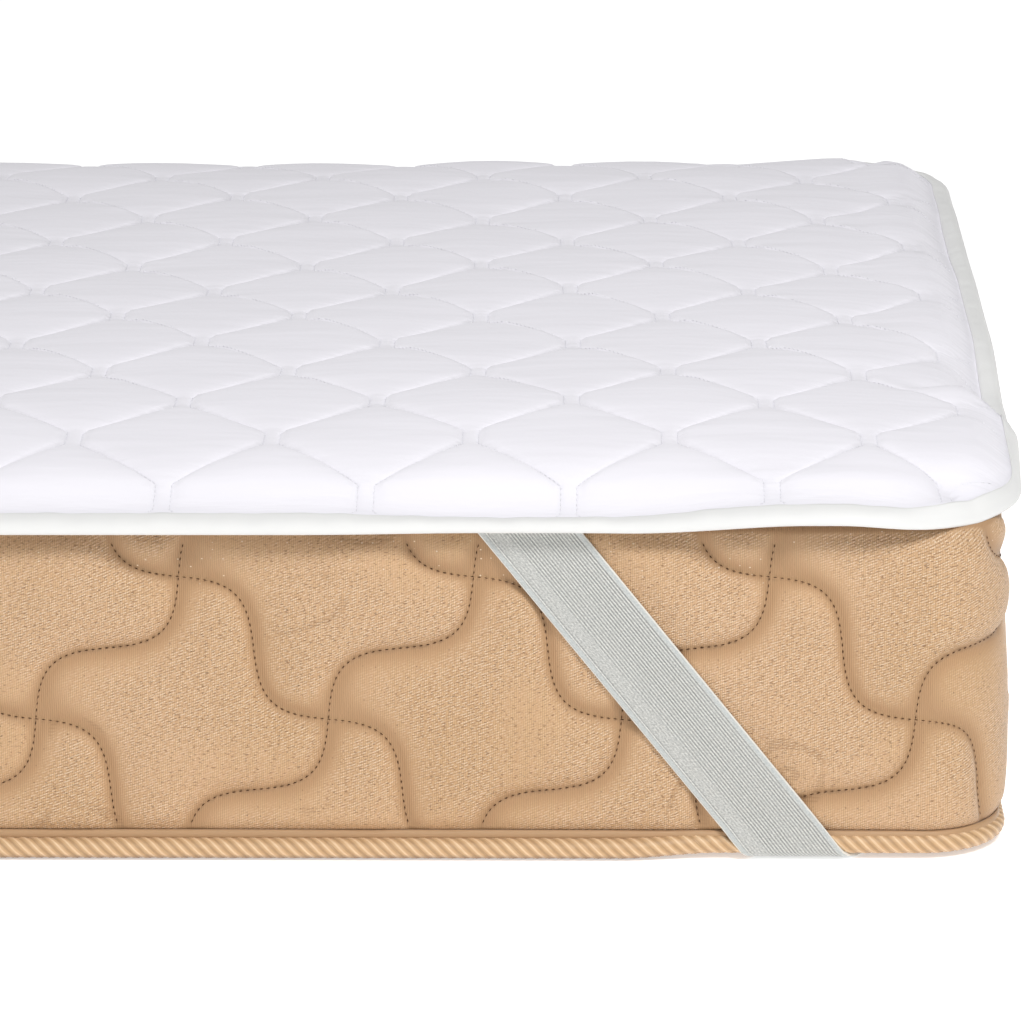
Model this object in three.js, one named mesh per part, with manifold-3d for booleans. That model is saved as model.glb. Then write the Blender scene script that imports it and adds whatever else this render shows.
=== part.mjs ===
// Quilted mattress protector on the mattress that it fits over.
// Millimetres. +X runs along the mattress, +Y across it, +Z up, and the base lies on Z = 0.
// A quilted panel lies on the mattress, its raw edge is bound all round, and one flat elastic
// strap at each corner runs from the bound edge diagonally under the mattress and back up.
import * as THREE from 'three';
import Module from 'manifold-3d';

const wasm = await Module();
wasm.setup();

const MATTRESS_LENGTH = 2000;
const MATTRESS_WIDTH = 800;
const MATTRESS_CORNER_RADIUS = 60;
const LEAST_RING_RADIUS = 6;
const CORNER_STEPS = 8;

const PIECE_GAP = 0.3;

// Outline of the panel: how far its edge reaches past the mattress, and its corner.
const PANEL_OVERHANG = 11.5;
const PANEL_CORNER_RADIUS = 80;
const PANEL_HALF_LENGTH = MATTRESS_LENGTH / 2 + PANEL_OVERHANG;
const PANEL_HALF_WIDTH = MATTRESS_WIDTH / 2 + PANEL_OVERHANG;

// Heights of the panel, by the distance in from its edge. Top is the level of the seams.
const PANEL_PROFILE = [
  { inward: 0, top: 172.8, underside: 171.2 },
  { inward: 9.8, top: 177.4, underside: 175.8 },
  { inward: 32, top: 185.7, underside: 180.6 },
  { inward: 51.5, top: 190.6, underside: 184.6 },
  { inward: 85, top: 195.1, underside: 188 },
  { inward: 140, top: 198.3, underside: 193 },
];
const EDGE_BAND = 9.8;
const UNDERSIDE_RINGS = [51.5, 140];

// Ogee quilting: pairs of wavy seams that meet at nodes and part around each puff.
const SEAM_SPACING = 49.6;
const SEAM_SWING = 20.8;
const SEAM_LEAN = 0.0248;
const FIRST_SEAM_X = -925.6;
const SEAM_COUNT = 39;
const NODE_ROW_SPACING = 62.2;
const FIRST_NODE_ROW_Y = -388.3;
const NODE_ROW_COUNT = 13;
const HALF_NODE = 9;
const LEAN_STARTS_Y = -172;
const PUFF_HEIGHT = 6;
const PUFF_FILL_WIDTH = 30;
const PUFF_RISE = 42;

// The straps draw the edge in and down. Each corner and the middle of each end stand up.
const STRAP_PLACE = 246;
const SIDE_PULL_IN = 3.5;
const END_PULL_IN = 1.5;
const STRAP_PULL_DOWN = 3.5;
const STRAP_PULL_REACH = [24, 110];
const CORNER_LIFT = 4.6;
const LIFT_REACH = [110, 200];
const END_LIFT = 9;
const END_LIFT_REACH = [20, 75];
const SETTLED_REACH = 50;
const FOLD_PLACE = 181;
const FOLD_HALF_WIDTH = 8;

// Binding: a folded strip around the panel's edge, drawn as a section across the edge.
// Rise is measured from the middle of the panel's edge, whose slope it follows.
const EDGE_MIDDLE = 172;
const EDGE_SLOPE = 0.466;
const BINDING_SECTION = [
  { inward: 8.2, rise: 2.2 },
  { inward: -1.3, rise: 1.8 },
  { inward: -1.9, rise: 0 },
  { inward: -1.3, rise: -1.8 },
  { inward: 8.2, rise: -2.2 },
  { inward: 8.2, rise: -1.4 },
  { inward: -0.5, rise: -1.4 },
  { inward: -0.5, rise: 1.4 },
  { inward: 8.2, rise: 1.4 },
];
const PLAIN_EDGE_STARTS = 390;

// Mattress: heights of its rings, by the distance in from its side.
const MATTRESS_PROFILE = [
  { inward: 14, height: 0 },
  { inward: 9.2, height: 2 },
  { inward: 8.8, height: 12.6 },
  { inward: 3.2, height: 15.2 },
  { inward: 1.6, height: 16.2 },
  { inward: 0, height: 18 },
  { inward: 0, height: 160 },
  { inward: 2, height: 165 },
  { inward: 8, height: 169.5 },
  { inward: 40, height: 183 },
  { inward: 128.5, height: 192.3 },
];

// Piping: a round cord in a flat flange, sewn into the lower seam of the mattress.
const CORD_RADIUS = 5.2;
const CORD_INWARD = 1;
const CORD_HEIGHT = 6.3;
const CORD_STEPS = 9;
const CORD_SQUEEZE = 2;
const CORD_SQUEEZE_ENDS = [141, 190];
const CORD_STATIONS = [141, 157, 174, 190];
const FLANGE = [
  { inward: 0.3, height: 15.6 },
  { inward: 1.4, height: 15.6 },
];
const CORD_ARC = { from: 112, to: 448 };

// Elastic strap: its route down the side, round the piping and under the mattress.
const STRAP_WIDTH = 40;
const STRAP_THICKNESS = 1.5;
const STRAP_ANGLE = THREE.MathUtils.degToRad(38.2);
const STRAP_AT_BASE = 101.2;
const STRAP_ROUTE = [
  { outward: 1.05, height: 169.9 },
  { outward: 1.05, height: 96 },
  { outward: 1.05, height: 22 },
  { outward: 1.6, height: 17 },
  { outward: 3.3, height: 12.5 },
  { outward: 3.9, height: 8.2 },
  { outward: 3.2, height: 4.6 },
  { outward: 0.5, height: 2.2 },
  { outward: -4, height: 1.05 },
  { outward: -14, height: 1.05 },
];
const STRAP_CHANNEL_MARGIN = 0.7;
const STRAP_CHANNEL_STARTS = 3;

function cloth(color, roughness) {
  return new THREE.MeshStandardMaterial({ color, roughness, metalness: 0 });
}

const QUILT_WHITE = cloth('#e9e9ee', 0.85);
const BINDING_WHITE = cloth('#fafafa', 0.8);
const ELASTIC_GREY = cloth('#c3cac7', 0.7);
const TICKING_TAN = cloth('#c8a478', 0.75);
const PIPING_TAN = cloth('#c3a27c', 0.7);

function smoothStep(from, to, value) {
  return THREE.MathUtils.smoothstep(value, from, to);
}

// Reads a column of a table whose rows go up in the distance inward.
function readTable(table, column, inward) {
  const last = table.length - 1;
  const next = Math.max(1, table.findIndex((row) => row.inward >= inward));
  const upper = inward >= table[last].inward ? last : next;
  const lower = upper - 1;
  const share = (inward - table[lower].inward) / (table[upper].inward - table[lower].inward);
  return THREE.MathUtils.lerp(table[lower][column], table[upper][column], Math.min(share, 1));
}

// Makes a closed mesh from points and triangles, and turns its faces outward.
function closedMesh(name, points, triangles, material) {
  let volume = 0;
  for (const [a, b, c] of triangles) {
    volume += points[a].dot(points[b].clone().cross(points[c]));
  }
  const facing = volume < 0 ? triangles.map(([a, b, c]) => [a, c, b]) : triangles;
  const geometry = new THREE.BufferGeometry();
  geometry.setAttribute('position', new THREE.Float32BufferAttribute(
    points.flatMap((point) => point.toArray()), 3));
  geometry.setIndex(facing.flat());
  geometry.computeVertexNormals();
  const mesh = new THREE.Mesh(geometry, material);
  mesh.name = name;
  return mesh;
}

// Joins two closed loops of the same number of points. Each square between them is split in
// two along the diagonal from the first loop, or along the other one where turned says so.
function joinLoops(triangles, first, second, turned = () => false) {
  first.forEach((a, i) => {
    const next = (i + 1) % first.length;
    const [b, c, d] = [first[next], second[next], second[i]];
    if (turned(i)) {
      triangles.push([a, b, d], [b, c, d]);
    } else {
      triangles.push([a, b, c], [a, c, d]);
    }
  });
}

function numbersFrom(first, count) {
  return Array.from({ length: count }, (unused, i) => first + i);
}

// Joins sections of the same number of points into a closed ring.
function joinSections(triangles, sections, count, turned) {
  for (let section = 0; section < sections; section += 1) {
    const next = (section + 1) % sections;
    joinLoops(triangles, numbersFrom(section * count, count), numbersFrom(next * count, count),
      turned);
  }
}

// Walks once around a rectangle with round corners, and gives each point its outward direction.
function roundedOutline(halfLength, halfWidth, radius) {
  const outline = [];
  for (let corner = 0; corner < 4; corner += 1) {
    const centreX = (corner === 0 || corner === 3 ? 1 : -1) * (halfLength - radius);
    const centreY = (corner < 2 ? 1 : -1) * (halfWidth - radius);
    for (let step = 0; step <= CORNER_STEPS; step += 1) {
      const angle = (corner + step / CORNER_STEPS) * Math.PI / 2;
      const normal = new THREE.Vector2(Math.cos(angle), Math.sin(angle));
      outline.push({ x: centreX + radius * normal.x, y: centreY + radius * normal.y, normal });
    }
  }
  return outline;
}

// --- Panel -----------------------------------------------------------------------------------

// Rounds the corners of the panel's rectangle: square rings there become round ones.
function roundCorner(x, y) {
  const centreX = PANEL_HALF_LENGTH - PANEL_CORNER_RADIUS;
  const centreY = PANEL_HALF_WIDTH - PANEL_CORNER_RADIUS;
  const alongX = Math.abs(x) - centreX;
  const alongY = Math.abs(y) - centreY;
  if (alongX <= 0 || alongY <= 0) {
    return { x, y };
  }
  const radius = Math.max(alongX, alongY);
  const angle = alongX >= alongY
    ? (Math.PI / 4) * (alongY / alongX)
    : (Math.PI / 2) - (Math.PI / 4) * (alongX / alongY);
  return {
    x: Math.sign(x) * (centreX + radius * Math.cos(angle)),
    y: Math.sign(y) * (centreY + radius * Math.sin(angle)),
  };
}

// Settles a point of the panel or its binding: in and down at a strap, up away from the straps.
function settle(x, y, z) {
  const fromEnd = PANEL_HALF_LENGTH - Math.abs(x);
  const fromSide = PANEL_HALF_WIDTH - Math.abs(y);
  const nearEnd = 1 - smoothStep(EDGE_BAND, SETTLED_REACH, fromEnd);
  const nearSide = 1 - smoothStep(EDGE_BAND, SETTLED_REACH, fromSide);
  const pullEnd = nearEnd * (1 - smoothStep(...STRAP_PULL_REACH, Math.abs(fromSide - STRAP_PLACE)));
  const pullSide = nearSide * (1 - smoothStep(...STRAP_PULL_REACH, Math.abs(fromEnd - STRAP_PLACE)));
  const liftSide = nearSide * (1 - smoothStep(...LIFT_REACH, fromEnd));
  const liftEnd = nearEnd * (1 - smoothStep(FOLD_PLACE - FOLD_HALF_WIDTH,
    FOLD_PLACE + FOLD_HALF_WIDTH, fromSide));
  const liftMiddle = nearEnd * smoothStep(...END_LIFT_REACH, fromSide - STRAP_PLACE);
  const inside = THREE.MathUtils.clamp(Math.min(fromEnd, fromSide) / EDGE_BAND, 0, 1);
  return new THREE.Vector3(
    x - Math.sign(x) * END_PULL_IN * pullEnd,
    y - Math.sign(y) * SIDE_PULL_IN * pullSide,
    z + Math.max(CORNER_LIFT * Math.max(liftEnd, liftSide), END_LIFT * liftMiddle)
      - STRAP_PULL_DOWN * inside * Math.max(pullEnd, pullSide),
  );
}

function panelPoint(x, y, z) {
  const plan = roundCorner(x, y);
  return settle(plan.x, plan.y, z);
}

function inwardOf(x, y) {
  return Math.min(PANEL_HALF_LENGTH - Math.abs(x), PANEL_HALF_WIDTH - Math.abs(y));
}

// Where a seam lies at a place across the bed. Neighbouring seams swing opposite ways.
function seamX(seam, y) {
  const reach = PANEL_HALF_WIDTH - EDGE_BAND - 2;
  const place = THREE.MathUtils.clamp(y, -reach, reach);
  const rows = (place - FIRST_NODE_ROW_Y) / NODE_ROW_SPACING;
  const nearest = Math.round(rows);
  const flat = HALF_NODE / NODE_ROW_SPACING;
  const away = Math.max(0, Math.abs(rows - nearest) - flat) / (1 - 2 * flat);
  const swing = (nearest % 2 === 0 ? 1 : -1) * (1 - 2 * away);
  const lean = SEAM_LEAN * Math.max(0, place - LEAN_STARTS_Y);
  return FIRST_SEAM_X + seam * SEAM_SPACING - lean
    + (seam % 2 === 0 ? 1 : -1) * SEAM_SWING * swing;
}

// Rows of the panel inside its bound edge: the corner folds and the ends of each node.
function panelRows() {
  const reach = PANEL_HALF_WIDTH - EDGE_BAND;
  const rows = [-reach, reach];
  for (const side of [-1, 1]) {
    for (const edge of [-1, 1]) {
      rows.push(side * (PANEL_HALF_WIDTH - FOLD_PLACE + edge * FOLD_HALF_WIDTH));
    }
  }
  for (let row = 0; row < NODE_ROW_COUNT; row += 1) {
    for (const end of [-HALF_NODE, HALF_NODE]) {
      const y = FIRST_NODE_ROW_Y + row * NODE_ROW_SPACING + end;
      if (Math.abs(y) < reach - HALF_NODE) {
        rows.push(y);
      }
    }
  }
  return rows.sort((a, b) => a - b);
}

// One row of the panel: its ends, every seam, and the crest of the puff between two seams.
function panelRow(y) {
  const reach = PANEL_HALF_LENGTH - EDGE_BAND;
  const seams = Array.from({ length: SEAM_COUNT }, (unused, seam) => seamX(seam, y));
  const borders = [-reach, ...seams, reach];
  return borders.flatMap((x, border) => {
    if (border === borders.length - 1) {
      return [{ x, y, width: 0 }];
    }
    const width = borders[border + 1] - x;
    return [{ x, y, width: 0 }, { x: x + width / 2, y, width }];
  });
}

function puffHeight(width, inward) {
  const fill = 1 - Math.exp(-width / PUFF_FILL_WIDTH);
  return PUFF_HEIGHT * fill * smoothStep(EDGE_BAND, PUFF_RISE, inward);
}

// The direction outward across the panel's edge at a point of its rectangle.
function outwardAt(x, y) {
  const centreX = PANEL_HALF_LENGTH - PANEL_CORNER_RADIUS;
  const centreY = PANEL_HALF_WIDTH - PANEL_CORNER_RADIUS;
  const alongX = Math.abs(x) - centreX;
  const alongY = Math.abs(y) - centreY;
  if (alongX > 0 && alongY > 0) {
    const round = roundCorner(x, y);
    return new THREE.Vector2(round.x - Math.sign(x) * centreX, round.y - Math.sign(y) * centreY)
      .normalize();
  }
  return alongX > alongY ? new THREE.Vector2(Math.sign(x), 0) : new THREE.Vector2(0, Math.sign(y));
}

// A point of the edge band, level with a point of the panel just inside the band.
function bandPoint({ x, y }, inward, z) {
  const plan = roundCorner(x, y);
  const outward = outwardAt(x, y).multiplyScalar(EDGE_BAND - inward);
  return settle(plan.x + outward.x, plan.y + outward.y, z);
}

// The points of a grid around its edge, once round, as row and column.
function borderOf(lastRow, lastColumn) {
  const border = [];
  for (let column = 0; column < lastColumn; column += 1) border.push([0, column]);
  for (let row = 0; row < lastRow; row += 1) border.push([row, lastColumn]);
  for (let column = lastColumn; column > 0; column -= 1) border.push([lastRow, column]);
  for (let row = lastRow; row > 0; row -= 1) border.push([row, 0]);
  return border;
}

function makePanel() {
  const rows = panelRows().map(panelRow);
  const columns = rows[0].length;
  const points = rows.flat().map(({ x, y, width }) => {
    const inward = inwardOf(x, y);
    return panelPoint(x, y, readTable(PANEL_PROFILE, 'top', inward) + puffHeight(width, inward));
  });
  const triangles = [];
  for (let row = 0; row < rows.length - 1; row += 1) {
    for (let column = 0; column < columns - 1; column += 1) {
      const first = row * columns + column;
      const above = first + columns;
      triangles.push([first, first + 1, above + 1], [first, above + 1, above]);
    }
  }
  // From the border of the top, rings go over the edge and back in along the underside.
  const border = borderOf(rows.length - 1, columns - 1);
  const edge = border.map(([row, column]) => rows[row][column]);
  const { underside } = PANEL_PROFILE[1];
  const rings = [
    edge.map((point) => bandPoint(point, 0, PANEL_PROFILE[0].top)),
    edge.map((point) => bandPoint(point, 0, PANEL_PROFILE[0].underside)),
    edge.map((point) => bandPoint(point, EDGE_BAND, underside)),
    ...UNDERSIDE_RINGS.map((inward) => edge.map(({ x, y }) => panelPoint(
      x * (PANEL_HALF_LENGTH - inward) / (PANEL_HALF_LENGTH - EDGE_BAND),
      y * (PANEL_HALF_WIDTH - inward) / (PANEL_HALF_WIDTH - EDGE_BAND),
      readTable(PANEL_PROFILE, 'underside', inward),
    ))),
  ];
  let outer = border.map(([row, column]) => row * columns + column);
  rings.forEach((ring, number) => {
    const inner = ring.map((point) => points.push(point) - 1);
    joinLoops(triangles, inner, outer, () => number > 0);
    outer = inner;
  });
  const flat = outer.map((point) => new THREE.Vector2(points[point].x, points[point].y));
  for (const [a, b, c] of THREE.ShapeUtils.triangulateShape(flat, [])) {
    triangles.push([outer[a], outer[c], outer[b]]);
  }
  return { mesh: closedMesh('protector_panel', points, triangles, QUILT_WHITE), edge };
}

// --- Binding ---------------------------------------------------------------------------------

// The binding follows the panel's own edge points, and every second one along the plain sides.
function makeBinding(edge) {
  const stations = edge.filter(({ x }, i) => (
    Math.abs(x) > PANEL_HALF_LENGTH - PLAIN_EDGE_STARTS || i % 2 === 0));
  const count = BINDING_SECTION.length;
  const points = stations.flatMap((station) => BINDING_SECTION.map(({ inward, rise }) => (
    bandPoint(station, inward, EDGE_MIDDLE + EDGE_SLOPE * inward + rise))));
  const triangles = [];
  const headsOut = (i) => BINDING_SECTION[i].inward > BINDING_SECTION[(i + 1) % count].inward;
  joinSections(triangles, stations.length, count, headsOut);
  return closedMesh('edge_binding', points, triangles, BINDING_WHITE);
}

// --- Straps ----------------------------------------------------------------------------------

// A strap's two edges as rows of points, from the bound edge on one side to that on the other.
// In a row, along is the distance from the mattress's corner and across is the distance in.
function strapHalf(offset) {
  const halfRow = STRAP_WIDTH / 2 / Math.cos(STRAP_ANGLE);
  const first = STRAP_ROUTE.findIndex(({ outward }) => outward > STRAP_ROUTE[0].outward);
  let length = STRAP_ROUTE[first].height;
  return STRAP_ROUTE.map(({ outward, height }, i) => {
    const before = STRAP_ROUTE[Math.max(0, i - 1)];
    const after = STRAP_ROUTE[Math.min(STRAP_ROUTE.length - 1, i + 1)];
    if (i > first) {
      length -= Math.hypot(outward - before.outward, height - before.height);
    }
    const turn = new THREE.Vector2(before.height - after.height, after.outward - before.outward);
    turn.normalize().multiplyScalar(offset);
    const place = STRAP_AT_BASE + Math.tan(STRAP_ANGLE) * (i < first ? height : length);
    const across = -(outward + turn.x);
    const z = height + turn.y;
    return [
      { along: place + halfRow, across, z },
      { along: place - halfRow, across, z },
    ];
  });
}

// The row under the corner, where the two halves of a strap meet on the diagonal.
function strapMiddle(offset) {
  const slope = Math.tan(STRAP_ANGLE);
  const last = strapHalf(0)[STRAP_ROUTE.length - 1];
  return last.map(({ along, across, z }) => {
    const distance = (along + slope * across) / (1 + slope);
    return { along: distance, across: distance, z: z - offset };
  });
}

// All rows of one face of a strap: down one side, under the corner and up the other side.
function strapFace(offset) {
  const half = strapHalf(offset);
  const otherHalf = half.map((row) => row.map(({ along, across, z }) => (
    { along: across, across: along, z })));
  return [...half, strapMiddle(offset), ...otherHalf.reverse()];
}

function cornerPoint({ along, across, z }, signX, signY) {
  return new THREE.Vector3(signX * (MATTRESS_LENGTH / 2 - along),
    signY * (MATTRESS_WIDTH / 2 - across), z);
}

function makeStrap(name, signX, signY) {
  const outer = strapFace(STRAP_THICKNESS / 2);
  const inner = strapFace(-STRAP_THICKNESS / 2);
  const points = [];
  const triangles = [];
  outer.forEach((row, i) => {
    const section = [row[0], row[1], inner[i][1], inner[i][0]];
    section.forEach((point) => points.push(cornerPoint(point, signX, signY)));
    if (i > 0) {
      joinLoops(triangles, numbersFrom((i - 1) * 4, 4), numbersFrom(i * 4, 4));
    }
  });
  const end = points.length - 4;
  triangles.push([0, 2, 1], [0, 3, 2], [end, end + 1, end + 2], [end, end + 2, end + 3]);
  return closedMesh(name, points, triangles, ELASTIC_GREY);
}

// --- Mattress --------------------------------------------------------------------------------

function solidOf(points, triangles) {
  return new wasm.Manifold(new wasm.Mesh({
    numProp: 3,
    vertProperties: new Float32Array(points.flatMap((point) => point.toArray())),
    triVerts: new Uint32Array(triangles.flat()),
  }));
}

// The channel that a strap presses into the underside of the mattress, clear of the strap.
function strapChannel(signX, signY) {
  const slope = Math.tan(STRAP_ANGLE);
  const last = STRAP_ROUTE.length - 1;
  const [far, near] = strapHalf(0)[last];
  const [farMiddle, nearMiddle] = strapMiddle(0);
  const toStart = slope * (far.across - STRAP_CHANNEL_STARTS);
  const side = STRAP_CHANNEL_MARGIN / Math.cos(STRAP_ANGLE);
  const farStart = [far.along + toStart + side, STRAP_CHANNEL_STARTS];
  const nearStart = [near.along + toStart - side, STRAP_CHANNEL_STARTS];
  const farTurn = farMiddle.along + STRAP_CHANNEL_MARGIN;
  const nearTurn = nearMiddle.along - STRAP_CHANNEL_MARGIN;
  const outline = [farStart, [farTurn, farTurn], [farStart[1], farStart[0]],
    [nearStart[1], nearStart[0]], [nearTurn, nearTurn], nearStart];
  const depth = STRAP_ROUTE[last].height + STRAP_THICKNESS / 2 + PIECE_GAP;
  const corners = outline.map(([along, across]) => (
    cornerPoint({ along, across, z: 0 }, signX, signY)));
  const loop = signX * signY > 0 ? corners : corners.reverse();
  return wasm.CrossSection.ofPolygons([loop.map(({ x, y }) => [x, y])], 'NonZero')
    .extrude(2 * depth).translate([0, 0, -depth]);
}

function makeMattress() {
  const points = [];
  const triangles = [];
  const rings = MATTRESS_PROFILE.map(({ inward, height }) => {
    const outline = roundedOutline(MATTRESS_LENGTH / 2 - inward, MATTRESS_WIDTH / 2 - inward,
      Math.max(MATTRESS_CORNER_RADIUS - inward, LEAST_RING_RADIUS));
    return outline.map(({ x, y }) => points.push(new THREE.Vector3(x, y, height)) - 1);
  });
  for (let ring = 1; ring < rings.length; ring += 1) {
    joinLoops(triangles, rings[ring - 1], rings[ring]);
  }
  const top = rings[rings.length - 1];
  for (let i = 1; i < top.length - 1; i += 1) {
    triangles.push([rings[0][0], rings[0][i + 1], rings[0][i]], [top[0], top[i], top[i + 1]]);
  }
  let body = solidOf(points, triangles);
  for (const signX of [-1, 1]) {
    for (const signY of [-1, 1]) {
      body = body.subtract(strapChannel(signX, signY));
    }
  }
  const { vertProperties, triVerts } = body.getMesh();
  const cutPoints = [];
  for (let i = 0; i < vertProperties.length; i += 3) {
    cutPoints.push(new THREE.Vector3(...vertProperties.slice(i, i + 3)));
  }
  const cutTriangles = [];
  for (let i = 0; i < triVerts.length; i += 3) {
    cutTriangles.push([...triVerts.slice(i, i + 3)]);
  }
  return closedMesh('mattress_body', cutPoints, cutTriangles, TICKING_TAN);
}

// How far a strap squeezes the piping in and up, by the distance from the mattress's corner.
function cordSqueeze(along) {
  return CORD_SQUEEZE * (1 - smoothStep(CORD_SQUEEZE_ENDS[0], CORD_SQUEEZE_ENDS[1], along));
}

function makePiping() {
  const corners = roundedOutline(MATTRESS_LENGTH / 2, MATTRESS_WIDTH / 2, MATTRESS_CORNER_RADIUS);
  const stations = [];
  corners.forEach((station, i) => {
    stations.push({ ...station, along: 0 });
    if (i % (CORNER_STEPS + 1) !== CORNER_STEPS) return;
    // A straight side follows each corner: more stations where the straps cross the piping.
    const next = corners[(i + 1) % corners.length];
    const from = new THREE.Vector2(station.x, station.y);
    const to = new THREE.Vector2(next.x, next.y);
    const side = from.distanceTo(to);
    const places = CORD_STATIONS.map((along) => along - MATTRESS_CORNER_RADIUS);
    for (const place of [...places, ...places.map((value) => side - value).reverse()]) {
      const point = from.clone().lerp(to, place / side);
      const along = Math.min(place, side - place) + MATTRESS_CORNER_RADIUS;
      stations.push({ x: point.x, y: point.y, normal: station.normal, along });
    }
  });
  const points = [];
  const triangles = [];
  for (const { x, y, normal, along } of stations) {
    const squeeze = cordSqueeze(along);
    const section = FLANGE.map((corner) => ({ ...corner }));
    for (let step = 0; step < CORD_STEPS; step += 1) {
      const degrees = THREE.MathUtils.lerp(CORD_ARC.from, CORD_ARC.to, step / (CORD_STEPS - 1));
      const angle = THREE.MathUtils.degToRad(degrees);
      section.push({
        inward: CORD_INWARD + squeeze - CORD_RADIUS * Math.cos(angle),
        height: CORD_HEIGHT + squeeze + CORD_RADIUS * Math.sin(angle),
      });
    }
    for (const { inward, height } of section) {
      points.push(new THREE.Vector3(x - inward * normal.x, y - inward * normal.y, height));
    }
  }
  const count = CORD_STEPS + FLANGE.length;
  joinSections(triangles, stations.length, count);
  return closedMesh('mattress_piping', points, triangles, PIPING_TAN);
}

const part = new THREE.Group();
const panel = makePanel();
part.add(panel.mesh, makeBinding(panel.edge));
part.add(makeStrap('strap_front_right', 1, -1), makeStrap('strap_front_left', -1, -1));
part.add(makeStrap('strap_back_right', 1, 1), makeStrap('strap_back_left', -1, 1));
part.add(makeMattress(), makePiping());

export default part;
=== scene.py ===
import math

import bpy
import numpy as np
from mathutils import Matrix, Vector


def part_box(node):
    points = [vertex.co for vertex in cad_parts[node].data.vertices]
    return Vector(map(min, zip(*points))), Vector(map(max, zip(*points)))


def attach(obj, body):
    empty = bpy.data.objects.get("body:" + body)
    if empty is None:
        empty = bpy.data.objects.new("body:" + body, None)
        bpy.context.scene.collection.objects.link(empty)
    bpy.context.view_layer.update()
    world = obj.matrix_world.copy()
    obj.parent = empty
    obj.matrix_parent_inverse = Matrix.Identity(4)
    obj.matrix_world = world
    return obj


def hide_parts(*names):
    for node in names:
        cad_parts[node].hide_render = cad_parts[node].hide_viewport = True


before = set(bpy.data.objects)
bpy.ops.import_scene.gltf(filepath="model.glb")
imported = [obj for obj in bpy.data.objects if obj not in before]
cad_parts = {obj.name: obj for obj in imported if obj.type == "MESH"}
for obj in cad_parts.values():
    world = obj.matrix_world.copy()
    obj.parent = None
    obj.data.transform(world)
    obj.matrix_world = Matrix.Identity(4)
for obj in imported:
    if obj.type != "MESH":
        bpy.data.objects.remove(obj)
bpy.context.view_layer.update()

# --- Mattress ---------------------------------------------------------------------------------
# The mattress is a foam block in a cover of tan jacquard ticking. The cover's side border is
# machine quilted to a thin layer of foam in swirling diagonal seams, and it is closed by one
# seam under its top panel and one above its piping.

MM = 0.001

MATTRESS_HALF_LENGTH, MATTRESS_HALF_WIDTH = np.array(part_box("mattress_body")[1])[:2] / MM
MATTRESS_CORNER_RADIUS = 40
LEAST_CORNER_RADIUS = 6

BORDER_BOTTOM = 13.8
BORDER_TOP = 165.4
BORDER_ROWS = 60
BORDER_BULGE = 4.4
BORDER_EDGE_TUCK = 2.2
BORDER_EDGE_ROUND = 11

SWIRL_FIRST_NODE_X = 595
SWIRL_NODE_HEIGHT = 144.5
SWIRL_HALF_WIDTH = 72.1
SWIRL_HALF_HEIGHT = 73
SWIRL_BEND = 0.13
SWIRL_SEAM_DEPTH = 7.4
SWIRL_STEEP_WIDTH = 5
SWIRL_GENTLE_WIDTH = 15
SWIRL_FLOAT_WIDTH = 22

STRAP_WIDTH = 40
STRAP_ANGLE = math.radians(38.2)
STRAP_AT_BASE = 101.2
STRAP_PRESS_REACH = 13

RIB_PITCH = 1.05
TWILL_RISE = math.radians(21)
TWILL_PITCH = 1.3
TWILL_WANDER = 0.9
CURL_NET_PITCH = 1.7
GLINTS_FROM = (138, 146)

FINE_STATION = 2.1
PLAIN_STATION = 5.6
FINE_FROM = 440
FINE_TO = 1130

UNDERSIDE = [(120, 0), (100, 2.2), (14, 2.2), (9.2, 2.4), (8.8, 10.2), (3.2, 12.8)]
TOP_SIDE = [(3, 168), (8, 170.5), (20, 176.5), (40, 182.7), (80, 187.9), (128.5, 192.2)]


def srgb(code):
    """The linear colour that Blender mixes, from the sRGB hex that the eye sees."""
    levels = [int(code[i:i + 2], 16) / 255 for i in (1, 3, 5)]
    return [v / 12.92 if v <= 0.04045 else ((v + 0.055) / 1.055) ** 2.4 for v in levels] + [1]


def add_node(tree, kind, inputs=None, **settings):
    """Adds a node. Settings are its own, and inputs are values or the sockets that feed it."""
    node = tree.nodes.new(kind)
    for name, value in settings.items():
        setattr(node, name, value)
    for name, value in (inputs or {}).items():
        if isinstance(value, bpy.types.NodeSocket):
            tree.links.new(value, node.inputs[name])
        else:
            node.inputs[name].default_value = value
    return node


def calculate(tree, operation, first, second=0.0, third=0.0):
    """One step of arithmetic on shader values."""
    inputs = {0: first, 1: second, 2: third}
    return add_node(tree, "ShaderNodeMath", inputs, operation=operation).outputs[0]


def fade(tree, value, start, end, low=0.0, high=1.0):
    """Turns a shader value smoothly from low at start to high at end."""
    inputs = {"Value": value, "From Min": start, "From Max": end, "To Min": low, "To Max": high}
    return add_node(tree, "ShaderNodeMapRange", inputs, interpolation_type="SMOOTHSTEP").outputs[0]


def mix_colours(tree, share, first, second):
    """Mixes two colours by a share of the second."""
    return add_node(tree, "ShaderNodeMix", {0: share, 6: first, 7: second},
                    data_type="RGBA").outputs[2]


def new_material(name, **values):
    """A material with its main shader, whose plain values are given by their socket's name."""
    material = bpy.data.materials.new(name)
    material.use_nodes = True
    tree = material.node_tree
    shader = tree.nodes["Principled BSDF"]
    for socket, value in values.items():
        shader.inputs[socket.replace("_", " ")].default_value = value
    return material, tree, shader


def bump(tree, height, distance, normal=None, strength=1.0):
    """Raises the surface by a shader height over a distance in millimetres."""
    inputs = {"Height": height, "Distance": distance * MM, "Strength": strength}
    if normal is not None:
        inputs["Normal"] = normal
    return add_node(tree, "ShaderNodeBump", inputs).outputs[0]


def noise(tree, place, scale, detail=2.0, roughness=0.5):
    """Noise whose grains are one over scale metres wide."""
    inputs = {"Vector": place, "Scale": scale, "Detail": detail, "Roughness": roughness}
    return add_node(tree, "ShaderNodeTexNoise", inputs).outputs[0]


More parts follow.
